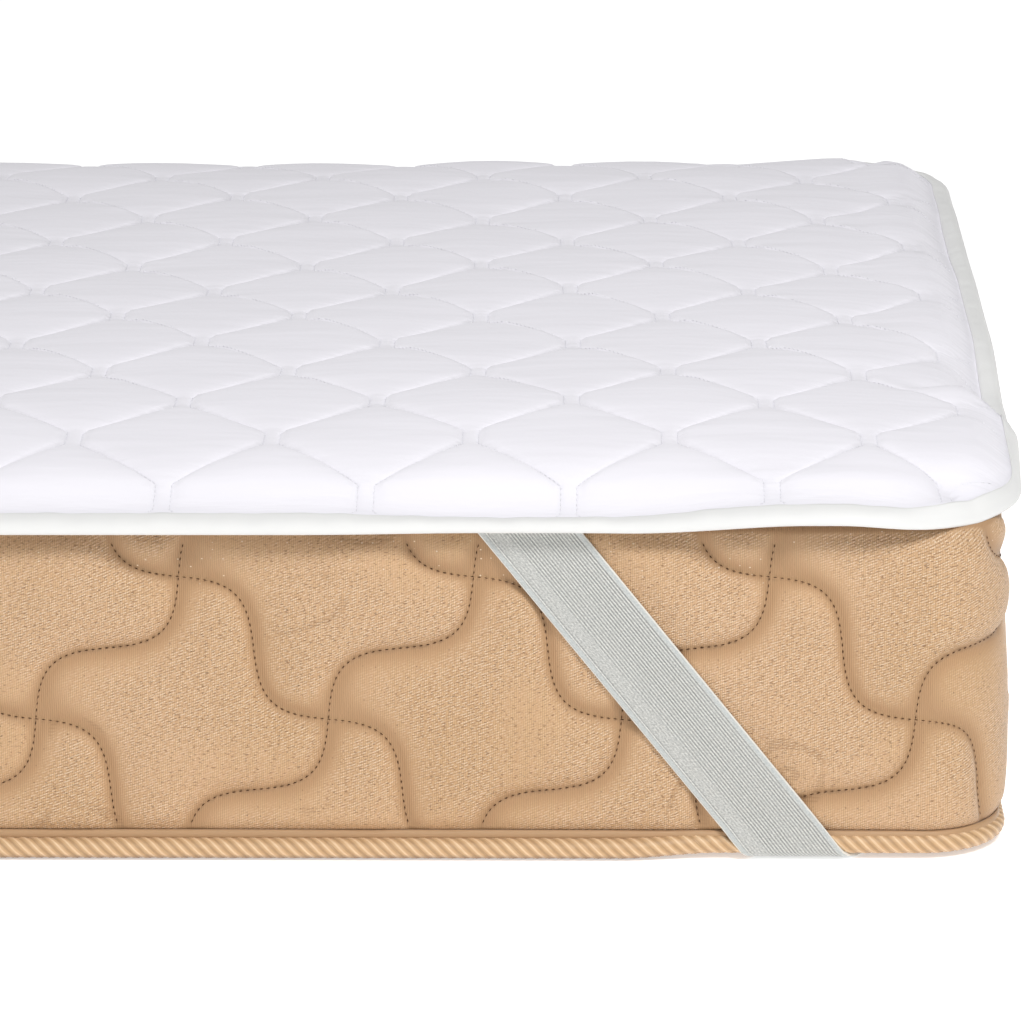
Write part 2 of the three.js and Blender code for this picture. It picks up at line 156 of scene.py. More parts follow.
def stretch(tree, place, x, y, z=1.0):
    """A place with its three directions scaled apart."""
    return add_node(tree, "ShaderNodeVectorMath", {0: place, 1: (x, y, z)},
                    operation="MULTIPLY").outputs[0]


def smooth_step(start, end, value):
    share = np.clip((value - start) / (end - start), 0, 1)
    return share * share * (3 - 2 * share)


def grid_faces(rows, columns, ring=False, tube=False):
    """The squares of a grid of points, and the row and column of each of their corners."""
    row, column = np.meshgrid(np.arange(rows if ring else rows - 1),
                              np.arange(columns if tube else columns - 1), indexing="ij")
    corners = [(row, column), (row, column + 1), (row + 1, column + 1), (row + 1, column)]
    places = np.stack([np.stack([r.ravel(), c.ravel()], axis=1) for r, c in corners], axis=1)
    faces = (places[..., 0] % rows) * columns + places[..., 1] % columns
    return faces, places


def volume_of(points, faces):
    a, b, c, d = (points[faces[:, i]] for i in range(4))
    return np.sum(a * np.cross(b, c)) + np.sum(a * np.cross(c, d))


def make_piece(name, points, faces, material, cloth=None, marks=None, caps=()):
    """A piece from points in millimetres and square faces. Cloth gives each face corner its
    place on the flat cloth in millimetres, and marks give each point a named number."""
    if volume_of(points, faces) < 0:
        faces = faces[:, ::-1]
        caps = [list(cap)[::-1] for cap in caps]
        cloth = None if cloth is None else cloth[:, ::-1]
    mesh = bpy.data.meshes.new(name)
    mesh.from_pydata((points * MM).tolist(), [], faces.tolist() + [list(cap) for cap in caps])
    if cloth is not None:
        layer = mesh.uv_layers.new(name="cloth")
        flat = np.zeros((len(mesh.loops), 2))
        flat[:faces.size] = cloth.reshape(-1, 2) * MM
        layer.data.foreach_set("uv", flat.ravel())
    for mark, values in (marks or {}).items():
        mesh.attributes.new(mark, "FLOAT", "POINT").data.foreach_set("value", values.ravel())
    mesh.polygons.foreach_set("use_smooth", np.ones(len(mesh.polygons), dtype=bool))
    mesh.materials.append(material)
    piece = bpy.data.objects.new(name, mesh)
    bpy.context.collection.objects.link(piece)
    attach(piece, "root")
    return piece


def walk(half_length, half_width, radius, places, inward=0.0):
    """Points around a rectangle with round corners, and the directions out from it. Places are
    distances walked from the middle of its front, to the right, and to the left if negative."""
    side, end, arc = half_length - radius, 2 * (half_width - radius), math.pi * radius / 2
    marks = np.cumsum([0, side, arc, end, arc, side])
    walked = np.abs(places)
    leg = np.clip(np.searchsorted(marks, walked, side="right") - 1, 0, 4)
    share = (walked - marks[leg]) / (marks[leg + 1] - marks[leg])
    turn = share * math.pi / 2
    inner = max(radius - inward, LEAST_CORNER_RADIUS)
    x0, y0 = half_length - inward - inner, half_width - inward - inner
    one, nought = np.ones_like(share), np.zeros_like(share)
    out_x = np.choose(leg, [nought, np.sin(turn), one, np.cos(turn), nought])
    out_y = np.choose(leg, [-one, -np.cos(turn), nought, np.sin(turn), one])
    x = np.choose(leg, [share * x0, x0 * one, x0 * one, x0 * one, (1 - share) * x0])
    y = np.choose(leg, [-y0 * one, -y0 * one, (2 * share - 1) * y0, y0 * one, y0 * one])
    to_right = np.where(places < 0, -1.0, 1.0)
    points = np.stack([to_right * (x + inner * out_x), y + inner * out_y], axis=-1)
    return points, np.stack([to_right * out_x, out_y], axis=-1)


def round_length(half_length, half_width, radius):
    return 4 * (half_length + half_width - 2 * radius) + 2 * math.pi * radius


def stations(length, fine_from, fine_to, fine, plain):
    """Places all the way round, closer together on the right half between two places."""
    spans = [(-length / 2, fine_from, plain), (fine_from, fine_to, fine), (fine_to, length / 2, plain)]
    return np.concatenate([np.linspace(start, end, round((end - start) / step), endpoint=False)
                           for start, end, step in spans])


MATTRESS = (MATTRESS_HALF_LENGTH, MATTRESS_HALF_WIDTH, MATTRESS_CORNER_RADIUS)
MATTRESS_ROUND = round_length(*MATTRESS)


def swirl_place(place):
    """The quilting repeats exactly along the front, and a whole number of times round the rest."""
    repeat = 2 * SWIRL_HALF_WIDTH
    rest = MATTRESS_ROUND - 2 * MATTRESS_HALF_LENGTH
    fitted = round(rest / repeat) * repeat
    past = np.maximum(0, np.abs(place) - MATTRESS_HALF_LENGTH)
    return np.sign(place) * (np.abs(place) - past * (1 - fitted / rest))


def swirl_distance(place, height):
    """The distance from the nearest seam of each of the two crossing families, to the right of
    it, or to the left if negative."""
    u = (swirl_place(place) - SWIRL_FIRST_NODE_X) / SWIRL_HALF_WIDTH
    v = (SWIRL_NODE_HEIGHT - height) / SWIRL_HALF_HEIGHT
    distances = []
    for across, along in ((u - v, u + v), (u + v, v - u)):
        course = (across - 2 * SWIRL_BEND * np.sin(math.pi * along)) / 2
        swing = 2 * math.pi * SWIRL_BEND * np.cos(math.pi * along)
        steepness = np.hypot(1 - swing, 1 + swing) / 2 / SWIRL_HALF_WIDTH
        distances.append((course - np.round(course)) / steepness)
    return distances


def border_puff(place, height, steep=SWIRL_STEEP_WIDTH, gentle=SWIRL_GENTLE_WIDTH):
    """How full the border is at a place, from 0 in a seam to nearly 1 amid a puff. Each puff
    rises gently from its left seam and falls steeply to the right one."""
    near, far = (1 - np.exp(-np.abs(distance) / np.where(distance > 0, gentle, steep))
                 for distance in swirl_distance(place, height))
    return near * far


def strap_press(points, height):
    """How far a strap flattens the border, from 0 to 1 under it."""
    along_end = MATTRESS_HALF_LENGTH - np.abs(points[..., 0])
    along_side = MATTRESS_HALF_WIDTH - np.abs(points[..., 1])
    along = np.maximum(along_end, along_side)
    lean = STRAP_AT_BASE + math.tan(STRAP_ANGLE) * height
    beside = np.abs(along - lean) * math.cos(STRAP_ANGLE) - STRAP_WIDTH / 2
    return 1 - smooth_step(0, STRAP_PRESS_REACH, beside)


def border_point(place, height):
    """A point on the face of the border, and the direction out from it."""
    points, outward = walk(*MATTRESS, place)
    puff = border_puff(place, height)
    to_edge = np.minimum(height - BORDER_BOTTOM, BORDER_TOP - height)
    tuck = np.clip(1 - to_edge / BORDER_EDGE_ROUND, 0, 1) ** 2.4
    out = BORDER_BULGE - (BORDER_BULGE + BORDER_EDGE_TUCK) * tuck
    out = out - SWIRL_SEAM_DEPTH * (1 - puff) * (1 - tuck)
    press = strap_press(points, height)
    out = out * (1 - press) + np.minimum(out, -0.2) * press
    flat = points + outward * out[..., None]
    return np.concatenate([flat, height[..., None]], axis=-1), outward, puff


def jacquard_ticking():
    """Tan satin ticking on a jacquard loom: fine upright ribs, short raised floats in twill
    lines across the puffs painted pale as a highlight, pin dots where the binding warp shows,
    and painted shade along the seams."""
    material, tree, shader = new_material("jacquard_ticking", Roughness=0.52, Sheen_Weight=0.15,
                                          Sheen_Roughness=0.4, Specular_IOR_Level=0.35)
    place = add_node(tree, "ShaderNodeUVMap", uv_map="cloth").outputs[0]
    along, up = (add_node(tree, "ShaderNodeSeparateXYZ", {0: place}).outputs[i] for i in (0, 1))
    puff = add_node(tree, "ShaderNodeAttribute", attribute_name="puff").outputs["Fac"]
    middle = add_node(tree, "ShaderNodeAttribute", attribute_name="middle").outputs["Fac"]
    ribs = calculate(tree, "SINE", calculate(tree, "MULTIPLY", along, 2 * math.pi / (RIB_PITCH * MM)))
    slant = calculate(tree, "SUBTRACT", calculate(tree, "MULTIPLY", up, math.cos(TWILL_RISE)),
                      calculate(tree, "MULTIPLY", along, math.sin(TWILL_RISE)))
    wander = calculate(tree, "MULTIPLY", noise(tree, place, 110.0, 1.0), TWILL_WANDER * MM)
    slant = calculate(tree, "ADD", slant, wander)
    lines = calculate(tree, "SINE",
                      calculate(tree, "MULTIPLY", slant, 2 * math.pi / (TWILL_PITCH * MM)))
    broken = noise(tree, stretch(tree, place, 560, 1000), 1.0, 1.0)
    # The floats lie only amid the puffs and off the gentle side of each seam, so that side stays plain
    # and darker as painted shade.
    on_middle = calculate(tree, "MULTIPLY", fade(tree, middle, 0.12, 0.5),
                          fade(tree, noise(tree, place, 15.0, 1.0), 0.3, 0.55, 0.25, 1.0))
    here = calculate(tree, "MULTIPLY", fade(tree, broken, 0.42, 0.58), on_middle)
    floats = calculate(tree, "MULTIPLY", fade(tree, lines, 0.0, 0.9), here)
    gaps = calculate(tree, "MULTIPLY", fade(tree, lines, -0.2, -0.95), here)
    lattice = add_node(tree, "ShaderNodeTexVoronoi", {"Vector": stretch(tree, place, 190, 235),
                                                      "Scale": 1.0, "Randomness": 0.3})
    dots = fade(tree, lattice.outputs["Distance"], 0.1, 0.06)
    flecks = fade(tree, noise(tree, stretch(tree, place, 430, 1150), 1.0, 1.0), 0.61, 0.69)
    flecks = calculate(tree, "MULTIPLY", flecks, fade(tree, middle, 0.1, 0.6))
    pins = calculate(tree, "MULTIPLY", dots, fade(tree, middle, 0.05, 0.3))
    near_top = fade(tree, up, GLINTS_FROM[0] * MM, GLINTS_FROM[1] * MM)
    glints = calculate(tree, "MULTIPLY", dots, near_top)
    bent = add_node(tree, "ShaderNodeTexNoise", {"Vector": place, "Scale": 16.0, "Detail": 1.0})
    bent = add_node(tree, "ShaderNodeVectorMath", {0: bent.outputs["Color"], "Scale": 0.75},
                    operation="SCALE").outputs[0]
    bent = add_node(tree, "ShaderNodeVectorMath", {0: stretch(tree, place, 11, 15), 1: bent},
                    operation="ADD").outputs[0]
    curls = add_node(tree, "ShaderNodeTexVoronoi", {"Vector": bent, "Scale": 1.0,
                                                    "Randomness": 0.9})
    ring = calculate(tree, "SINE", calculate(tree, "MULTIPLY", curls.outputs["Distance"], 34.0))
    ring = calculate(tree, "MULTIPLY", fade(tree, ring, 0.45, 0.75),
                     fade(tree, curls.outputs["Distance"], 0.34, 0.3))
    ring = calculate(tree, "MULTIPLY", ring, fade(tree, noise(tree, place, 34.0, 1.0), 0.45, 0.55))
    net = calculate(tree, "SINE",
                    calculate(tree, "MULTIPLY", up, 2 * math.pi / (CURL_NET_PITCH * MM)))
    curls = calculate(tree, "MULTIPLY", ring, fade(tree, net, -0.2, 0.8, 0.25, 1.0))
    tone = noise(tree, place, 6.0, 3.0)
    colour = mix_colours(tree, fade(tree, tone, 0.3, 0.7), srgb("#c6a178"), srgb("#d1ac87"))
    # Painted shade: the ticking is darker where the border sinks into its seams, over a wider band on the
    # gentle side of each seam.
    colour = mix_colours(tree, fade(tree, puff, 0.06, 0.58), srgb("#b28d68"), colour)
    # Partly painted highlight: the twill floats are the weave's own pattern, painted pale where they
    # catch the light.
    colour = mix_colours(tree, calculate(tree, "MULTIPLY", floats, 0.75), colour, srgb("#ffe7cb"))
    colour = mix_colours(tree, calculate(tree, "MULTIPLY", gaps, 0.75), colour, srgb("#906a45"))
    colour = mix_colours(tree, calculate(tree, "MULTIPLY", flecks, 0.6), colour, srgb("#6b4828"))
    colour = mix_colours(tree, fade(tree, ribs, -1.0, 0.5, 0.34, 0.0), colour, srgb("#94734f"))
    colour = mix_colours(tree, calculate(tree, "MULTIPLY", curls, 0.4), colour, srgb("#8d6a47"))
    colour = mix_colours(tree, calculate(tree, "MULTIPLY", pins, 0.55), colour, srgb("#553c26"))
    colour = mix_colours(tree, calculate(tree, "MULTIPLY", glints, 0.8), colour, srgb("#f3e0c6"))
    tree.links.new(colour, shader.inputs["Base Color"])
    weave = calculate(tree, "ADD", calculate(tree, "MULTIPLY", ribs, 0.4),
                      calculate(tree, "MULTIPLY", floats, 1.3))
    creases = bump(tree, noise(tree, place, 70.0, 3.0), 1.2, strength=0.5)
    tree.links.new(bump(tree, weave, 0.18, creases), shader.inputs["Normal"])
    return material


ticking = jacquard_ticking()

places = stations(MATTRESS_ROUND, FINE_FROM, FINE_TO, FINE_STATION, PLAIN_STATION)
heights = np.linspace(BORDER_BOTTOM, BORDER_TOP, BORDER_ROWS)
border, outward, puff = border_point(places[:, None] + 0 * heights, heights + 0 * places[:, None])


def mattress_ring(inward, height):
    points, unused = walk(*MATTRESS, places, inward)
    return np.concatenate([points, np.full((len(places), 1), height)], axis=1)[:, None]


rings = [mattress_ring(*row) for row in UNDERSIDE] + [border]
rings = np.concatenate(rings + [mattress_ring(*row) for row in TOP_SIDE], axis=1)
faces, corners = grid_faces(*rings.shape[:2], ring=True)
around = np.append(places, MATTRESS_ROUND / 2)
level = np.concatenate([[height for unused, height in UNDERSIDE], heights,
                        [height for unused, height in TOP_SIDE]])
cloth = np.stack([around[corners[..., 0]], level[corners[..., 1]]], axis=-1)
fullness = np.zeros(rings.shape[:2])
on_border = slice(len(UNDERSIDE), len(UNDERSIDE) + BORDER_ROWS)
fullness[:, on_border] = puff
# Where the twill floats may lie: away from the seams and most of all from their gentle side, which stays
# plain and darker as painted shade.
middle = np.zeros(rings.shape[:2])
middle[:, on_border] = border_puff(places[:, None], heights, SWIRL_FLOAT_WIDTH / 4,
                                   SWIRL_FLOAT_WIDTH)
count = rings.shape[1]
caps = [np.arange(len(places)) * count, (np.arange(len(places)) * count + count - 1)[::-1]]
mattress = make_piece("mattress_cover", rings.reshape(-1, 3), faces, ticking, cloth,
                      {"puff": fullness, "middle": middle}, caps)
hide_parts("mattress_body")


# --- Stitching of the mattress border ---------------------------------------------------------
# The border's quilting seams are lockstitched in dark brown thread, at 7 to 8 stitches an inch.
# Each stitch is a short length of thread that lies in the bottom of its seam.

BORDER_STITCH = 3.4
BORDER_THREAD_LENGTH = 2.2
BORDER_THREAD_WIDTH = 0.7
BORDER_THREAD_RAISED = 1.3


def along_line(points, step, length):
    """Both ends of every stitch along a line of points, a step apart."""
    lengths = np.concatenate([[0], np.cumsum(np.hypot(*np.diff(points, axis=0).T))])
    starts = np.arange(step / 2, lengths[-1] - step, step)
    ends = [[np.interp(place, lengths, points[:, axis]) for axis in (0, 1)]
            for place in (starts, starts + length)]
    return [np.stack(end, axis=1) for end in ends]


def make_stitches(name, first, second, normals, width, material):
    """One small six-pointed bead of thread from each first end to its second."""
    middle, way = (first + second) / 2, second - first
    side = np.cross(normals, way)
    side *= width / 2 / np.linalg.norm(side, axis=1)[:, None]
    rise = normals * width * 0.45
    points = np.stack([first, middle + side, second, middle - side, middle + rise,
                       middle - rise], axis=1)
    bead = np.array([[0, 1, 4], [1, 2, 4], [2, 3, 4], [3, 0, 4],
                     [1, 0, 5], [2, 1, 5], [3, 2, 5], [0, 3, 5]])
    faces = (np.arange(len(first))[:, None, None] * 6 + bead).reshape(-1, 3)
    mesh = bpy.data.meshes.new(name)
    mesh.from_pydata((points.reshape(-1, 3) * MM).tolist(), [], faces.tolist())
    mesh.polygons.foreach_set("use_smooth", np.ones(len(faces), dtype=bool))
    mesh.materials.append(material)
    piece = bpy.data.objects.new(name, mesh)
    bpy.context.collection.objects.link(piece)
    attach(piece, "root")
    return piece


def thread(name, colour):
    """Polyester sewing thread: a little shiny, and twisted too fine to see."""
    material, tree, shader = new_material(name, Roughness=0.75, Specular_IOR_Level=0.2)
    place = add_node(tree, "ShaderNodeTexCoord").outputs["Object"]
    colour = mix_colours(tree, noise(tree, place, 900.0), srgb(colour), srgb("#3a2515"))
    tree.links.new(colour, shader.inputs["Base Color"])
    return material


def swirl_seams():
    """The seams of the border quilting, as lines of place and height."""
    run = np.linspace(-0.6, 2.1, 400)
    swing = SWIRL_BEND * np.sin(2 * math.pi * run)
    repeats = round(MATTRESS_ROUND / 2 / SWIRL_HALF_WIDTH)
    for repeat in range(-repeats // 2 - 4, repeats // 2 + 4):
        for u, v in ((run + swing, run - swing), (-run + swing, run + swing)):
            line = np.stack([(u + 2 * repeat) * SWIRL_HALF_WIDTH + SWIRL_FIRST_NODE_X,
                             SWIRL_NODE_HEIGHT - v * SWIRL_HALF_HEIGHT], axis=1)
            inside = (line[:, 1] > BORDER_BOTTOM + 2) & (line[:, 1] < BORDER_TOP - 2)
            yield line[inside]


seam_ends = [along_line(line, BORDER_STITCH, BORDER_THREAD_LENGTH) for line in swirl_seams()]
first, second = (np.concatenate(ends) for ends in zip(*seam_ends))
kept = (np.abs(first[:, 0]) < MATTRESS_ROUND / 2) & (np.abs(second[:, 0]) < MATTRESS_ROUND / 2)
first, outward, unused = border_point(first[kept, 0], first[kept, 1])
second = border_point(second[kept, 0], second[kept, 1])[0]
normals = np.concatenate([outward, np.zeros((len(outward), 1))], axis=1)
stitches = make_stitches("border_stitching", first + normals * BORDER_THREAD_RAISED,
                         second + normals * BORDER_THREAD_RAISED, normals,
                         BORDER_THREAD_WIDTH, thread("brown_thread", "#5a3d26"))


# --- Piping -----------------------------------------------------------------------------------
# A lip cord runs all round the lower seam: five strands of tan rayon twisted into a cord about
# 10 mm thick, sewn to a flat tape that the border seam holds.

CORD_CREST = 5.2
CORD_VALLEY = 4.85
CORD_STRANDS = 5
CORD_POINTS = 30
CORD_CREST_SPACING = 6.0
CORD_STATION = 2.0
CORD_OUTWARD = 1.6
CORD_HEIGHT = 5.7
CORD_SQUEEZE_IN = 3.8
CORD_SQUEEZE_UP = 1.8
CORD_SQUEEZE_ENDS = (141, 190)
TAPE_POINTS = 900
TAPE_SECTION = [(1.8, 8.6), (0, 8.6), (-0.3, 11), (0, 13.7), (0.9, 14.4), (1.9, 14.2)]


def piping_squeeze(points):
    """How much the straps squeeze the cord in and up, from 0 to 1 near the corners."""
    along = np.minimum(MATTRESS_HALF_LENGTH - np.abs(points[:, 0]),
                       MATTRESS_HALF_WIDTH - np.abs(points[:, 1]))
    far = np.maximum(MATTRESS_HALF_LENGTH - np.abs(points[:, 0]),
                     MATTRESS_HALF_WIDTH - np.abs(points[:, 1]))
    return np.where(along < 40, 1 - smooth_step(*CORD_SQUEEZE_ENDS, far), 0)


def twisted_cord():
    """Rayon filament cord: glossy strands with fine filaments along them, with painted shade
    between the strands and under the cord, and a painted highlight along the strand crests.
    """
    material, tree, shader = new_material("twisted_cord", Roughness=0.42, Sheen_Weight=0.2)
    place = add_node(tree, "ShaderNodeUVMap", uv_map="cloth").outputs[0]
    crest = add_node(tree, "ShaderNodeAttribute", attribute_name="crest").outputs["Fac"]
    filaments = noise(tree, stretch(tree, place, 160, 2600), 1.0, 2.0)
    # Painted shade and highlight: darker in the valleys between the strands, paler on their crests.
    colour = mix_colours(tree, fade(tree, crest, 0.1, 0.9), srgb("#b08c64"), srgb("#d0aa7f"))
    up = add_node(tree, "ShaderNodeSeparateXYZ", {
        0: add_node(tree, "ShaderNodeTexCoord").outputs["Object"]}).outputs[2]
    # Painted highlight: a pale streak along the crest of each strand.
    shine = calculate(tree, "MULTIPLY", fade(tree, crest, 0.86, 0.98),
                      fade(tree, filaments, 0.3, 0.6, 0.3, 0.75))
    colour = mix_colours(tree, shine, colour, srgb("#f3d8b2"))
    colour = mix_colours(tree, fade(tree, filaments, 0.5, 0.75, 0.0, 0.3), colour,
                         srgb("#ecd0a8"))
    # Painted shade: the cord darkens toward its underside, close to the floor.
    colour = mix_colours(tree, fade(tree, up, 4.2 * MM, 0.8 * MM, 0.0, 0.75), colour,
                         srgb("#74553a"))
    colour = mix_colours(tree, fade(tree, crest, -0.9, -0.5), srgb("#b4906a"), colour)
    tree.links.new(colour, shader.inputs["Base Color"])
    tree.links.new(bump(tree, filaments, 0.25), shader.inputs["Normal"])
    return material


cord_places = np.linspace(-MATTRESS_ROUND / 2, MATTRESS_ROUND / 2,
                          round(MATTRESS_ROUND / CORD_STATION), endpoint=False)
points, outward = walk(*MATTRESS, cord_places)
squeeze = piping_squeeze(points)
crests = round(MATTRESS_ROUND / CORD_CREST_SPACING / CORD_STRANDS) * CORD_STRANDS
turned = cord_places / MATTRESS_ROUND * crests / CORD_STRANDS * 2 * math.pi
place_in_section = np.arange(CORD_POINTS) * 2 * math.pi / CORD_POINTS
crest = np.abs(np.cos(place_in_section * CORD_STRANDS / 2))
radius = CORD_VALLEY + (CORD_CREST - CORD_VALLEY) * crest
angle = place_in_section - turned[:, None]
out = radius * np.cos(angle) + CORD_OUTWARD - CORD_SQUEEZE_IN * squeeze[:, None]
up = radius * np.sin(angle) + CORD_HEIGHT + CORD_SQUEEZE_UP * squeeze[:, None]
cord = np.concatenate([points[:, None] + outward[:, None] * out[..., None], up[..., None]], axis=-1)
faces, corners = grid_faces(*cord.shape[:2], ring=True, tube=True)
cloth = np.stack([corners[..., 0] * CORD_STATION, corners[..., 1] * 1.05], axis=-1)

tape_at = np.linspace(-MATTRESS_ROUND / 2, MATTRESS_ROUND / 2, TAPE_POINTS, endpoint=False)
points, outward = walk(*MATTRESS, tape_at)
tape = np.stack([np.concatenate([points - outward * inward, np.full((len(points), 1), height)],
                                axis=1) for inward, height in TAPE_SECTION], axis=1)
tape_faces, tape_corners = grid_faces(*tape.shape[:2], ring=True, tube=True)
tape_cloth = np.stack([tape_corners[..., 0] * 6.1, tape_corners[..., 1] * 2.0], axis=-1)
if volume_of(tape.reshape(-1, 3), tape_faces) * volume_of(cord.reshape(-1, 3), faces) < 0:
    tape_faces, tape_cloth = tape_faces[:, ::-1], tape_cloth[:, ::-1]
all_points = np.concatenate([cord.reshape(-1, 3), tape.reshape(-1, 3)])
crest_mark = np.concatenate([np.tile(crest, len(cord)), np.full(tape.shape[0] * tape.shape[1], -1.0)])
piping = make_piece("piping_cord", all_points, np.concatenate([faces, tape_faces + cord[..., 0].size]),
                    twisted_cord(), np.concatenate([cloth, tape_cloth]), {"crest": crest_mark})
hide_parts("mattress_piping")


# --- Quilted panel ----------------------------------------------------------------------------
# Two layers of smooth white cotton with wadding between them, quilted in pairs of wavy lines
# that meet at nodes and part around a puff. It lies on the mattress, a little larger than it,
# and the straps hold its corners down.

PANEL_HALF_LENGTH, PANEL_HALF_WIDTH = np.array(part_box("protector_panel")[1])[:2] / MM
PANEL_CORNER_RADIUS = 80
EDGE_BAND = 9.8
PANEL_TOP = 198.3
PANEL_SIDE_DROPS = [(9.8, 20.9), (14, 20.6), (23, 17.2), (32, 12.6), (50, 7.5), (85, 3.2),
                    (147, 0), (1000, 0)]
PANEL_END_DROPS = [(9.8, 20.9), (18, 14.5), (27, 9.5), (60, 4), (114, 1), (177, 0), (1000, 0)]
PANEL_TIP_HEIGHTS = (172.8, 171.2)
PANEL_RIM_UNDERSIDE = 175.8
PANEL_UNDERSIDE = [(32, 180.5), (51.5, 184.6), (140, 193)]
CORNER_BLEND = 25

SEAM_SPACING = 49.6
SEAM_SWING = 20.8
SEAM_LEAN = 0.0248
FIRST_SEAM_X = -975.2
SEAM_COUNT = 41
NODE_ROWS = 14
NODE_ROW_SPACING = 62.2
FIRST_NODE_ROW_Y = -388.3
HALF_NODE = 9
LEAN_STARTS_Y = -172
PUFF_HEIGHT = 4.0
PUFF_FILL_WIDTH = 30
SEAM_CREASE = 1.8
CREASE_SHARE = 0.55
SOFT_SEAM = 0.93
SOFT_SEAM_STARTS = (-330, -120)
CELL_STEPS = [0, 0.03, 0.075, 0.15, 0.26, 0.41, 0.59, 0.74, 0.85, 0.925, 0.97]
ROW_STEP = 4.3

STRAP_PLACE = 246
SIDE_PULL_IN = 3.5
END_PULL_IN = 0.8
STRAP_PULL_DOWN = 3.5
STRAP_PULL_REACH = (24, 110)
CORNER_LIFT = 4.6
LIFT_REACH = (110, 200)
SETTLED_REACH = 50
END_RISES = [(-165, 0), (-105, 8), (0, 9.5), (185, 12.5), (300, 8.5), (385, 4.6), (420, 4.6)]
END_RISE_SHARES = [(0, 1), (9.8, 0.8), (24, 0.55), (60, 0), (1000, 0)]
FOLD_PLACE = 184
FOLD_BEND = 30
FOLD_BEND_REACH = 22
FOLD_HALF_WIDTH = 6
BACK_FOLD_HALF_WIDTH = 40
FOLD_REACH = (16, 70)
FOLD_PUSH, FOLD_PUSH_AT, FOLD_PUSH_WIDTH = 9, -4, 7
FOLD_RIDGE, FOLD_RIDGE_AT, FOLD_RIDGE_WIDTH = 3, -9, 11
FOLD_VALLEY, FOLD_VALLEY_AT, FOLD_VALLEY_WIDTH = 4, 9, 10
FRONT_CORNER_RISE = 7
FRONT_RISE_REACH = (20, 70)
BACK_CORNER_RISE = 6
BACK_RISE_REACH = (20, 120)
FRONT_DROOP = 5.5
FRONT_DROOP_REACH = (30, 95)
FRONT_DROOP_ALONG_END = 0.6
FRONT_TUCK = 5
LOBE_BAND = [(0, 0, 0), (9.8, 3.6, 2.4), (24, 2.4, 1.6), (60, 0, 0), (1000, 0, 0)]
LOBE_STARTS = (30, 90)
LOBE_STOPS = (-6, 2)
GUTTER_DEPTH = 2.6
GUTTER_PLACE = 15.5
GUTTER_HALF_WIDTH = 4.5
GUTTER_STARTS = (0, 10)
GUTTER_FADES = (20, 120)


def ease(table, value):
    """Reads a table of places and values with a smooth curve through its rows."""
    places, values = (np.array(column, dtype=float) for column in zip(*table))
    steps = np.diff(values) / np.diff(places)
    slopes = np.concatenate([[steps[0]], (steps[1:] + steps[:-1]) / 2, [steps[-1]]])
    turns = np.concatenate([[False], steps[1:] * steps[:-1] <= 0, [False]])
    slopes[turns] = 0
    value = np.clip(value, places[0], places[-1])
    i = np.clip(np.searchsorted(places, value, side="right") - 1, 0, len(places) - 2)
    width = places[i + 1] - places[i]
    t = (value - places[i]) / width
    return (values[i] * (1 + 2 * t) * (1 - t) ** 2 + slopes[i] * width * t * (1 - t) ** 2
            + values[i + 1] * t * t * (3 - 2 * t) - slopes[i + 1] * width * t * t * (1 - t))


def round_panel_corner(x, y):
    """Rounds the corners of the panel's rectangle: square rings there become round ones."""
    centre_x = PANEL_HALF_LENGTH - PANEL_CORNER_RADIUS
    centre_y = PANEL_HALF_WIDTH - PANEL_CORNER_RADIUS
    along_x = np.maximum(np.abs(x) - centre_x, 1e-9)
    along_y = np.maximum(np.abs(y) - centre_y, 1e-9)
    in_corner = (np.abs(x) > centre_x) & (np.abs(y) > centre_y)
    radius = np.maximum(along_x, along_y)
    turn = np.where(along_x >= along_y, math.pi / 4 * along_y / along_x,
                    math.pi / 2 - math.pi / 4 * along_x / along_y)
    round_x = np.sign(x) * (centre_x + radius * np.cos(turn))
    round_y = np.sign(y) * (centre_y + radius * np.sin(turn))
    return np.where(in_corner, round_x, x), np.where(in_corner, round_y, y)


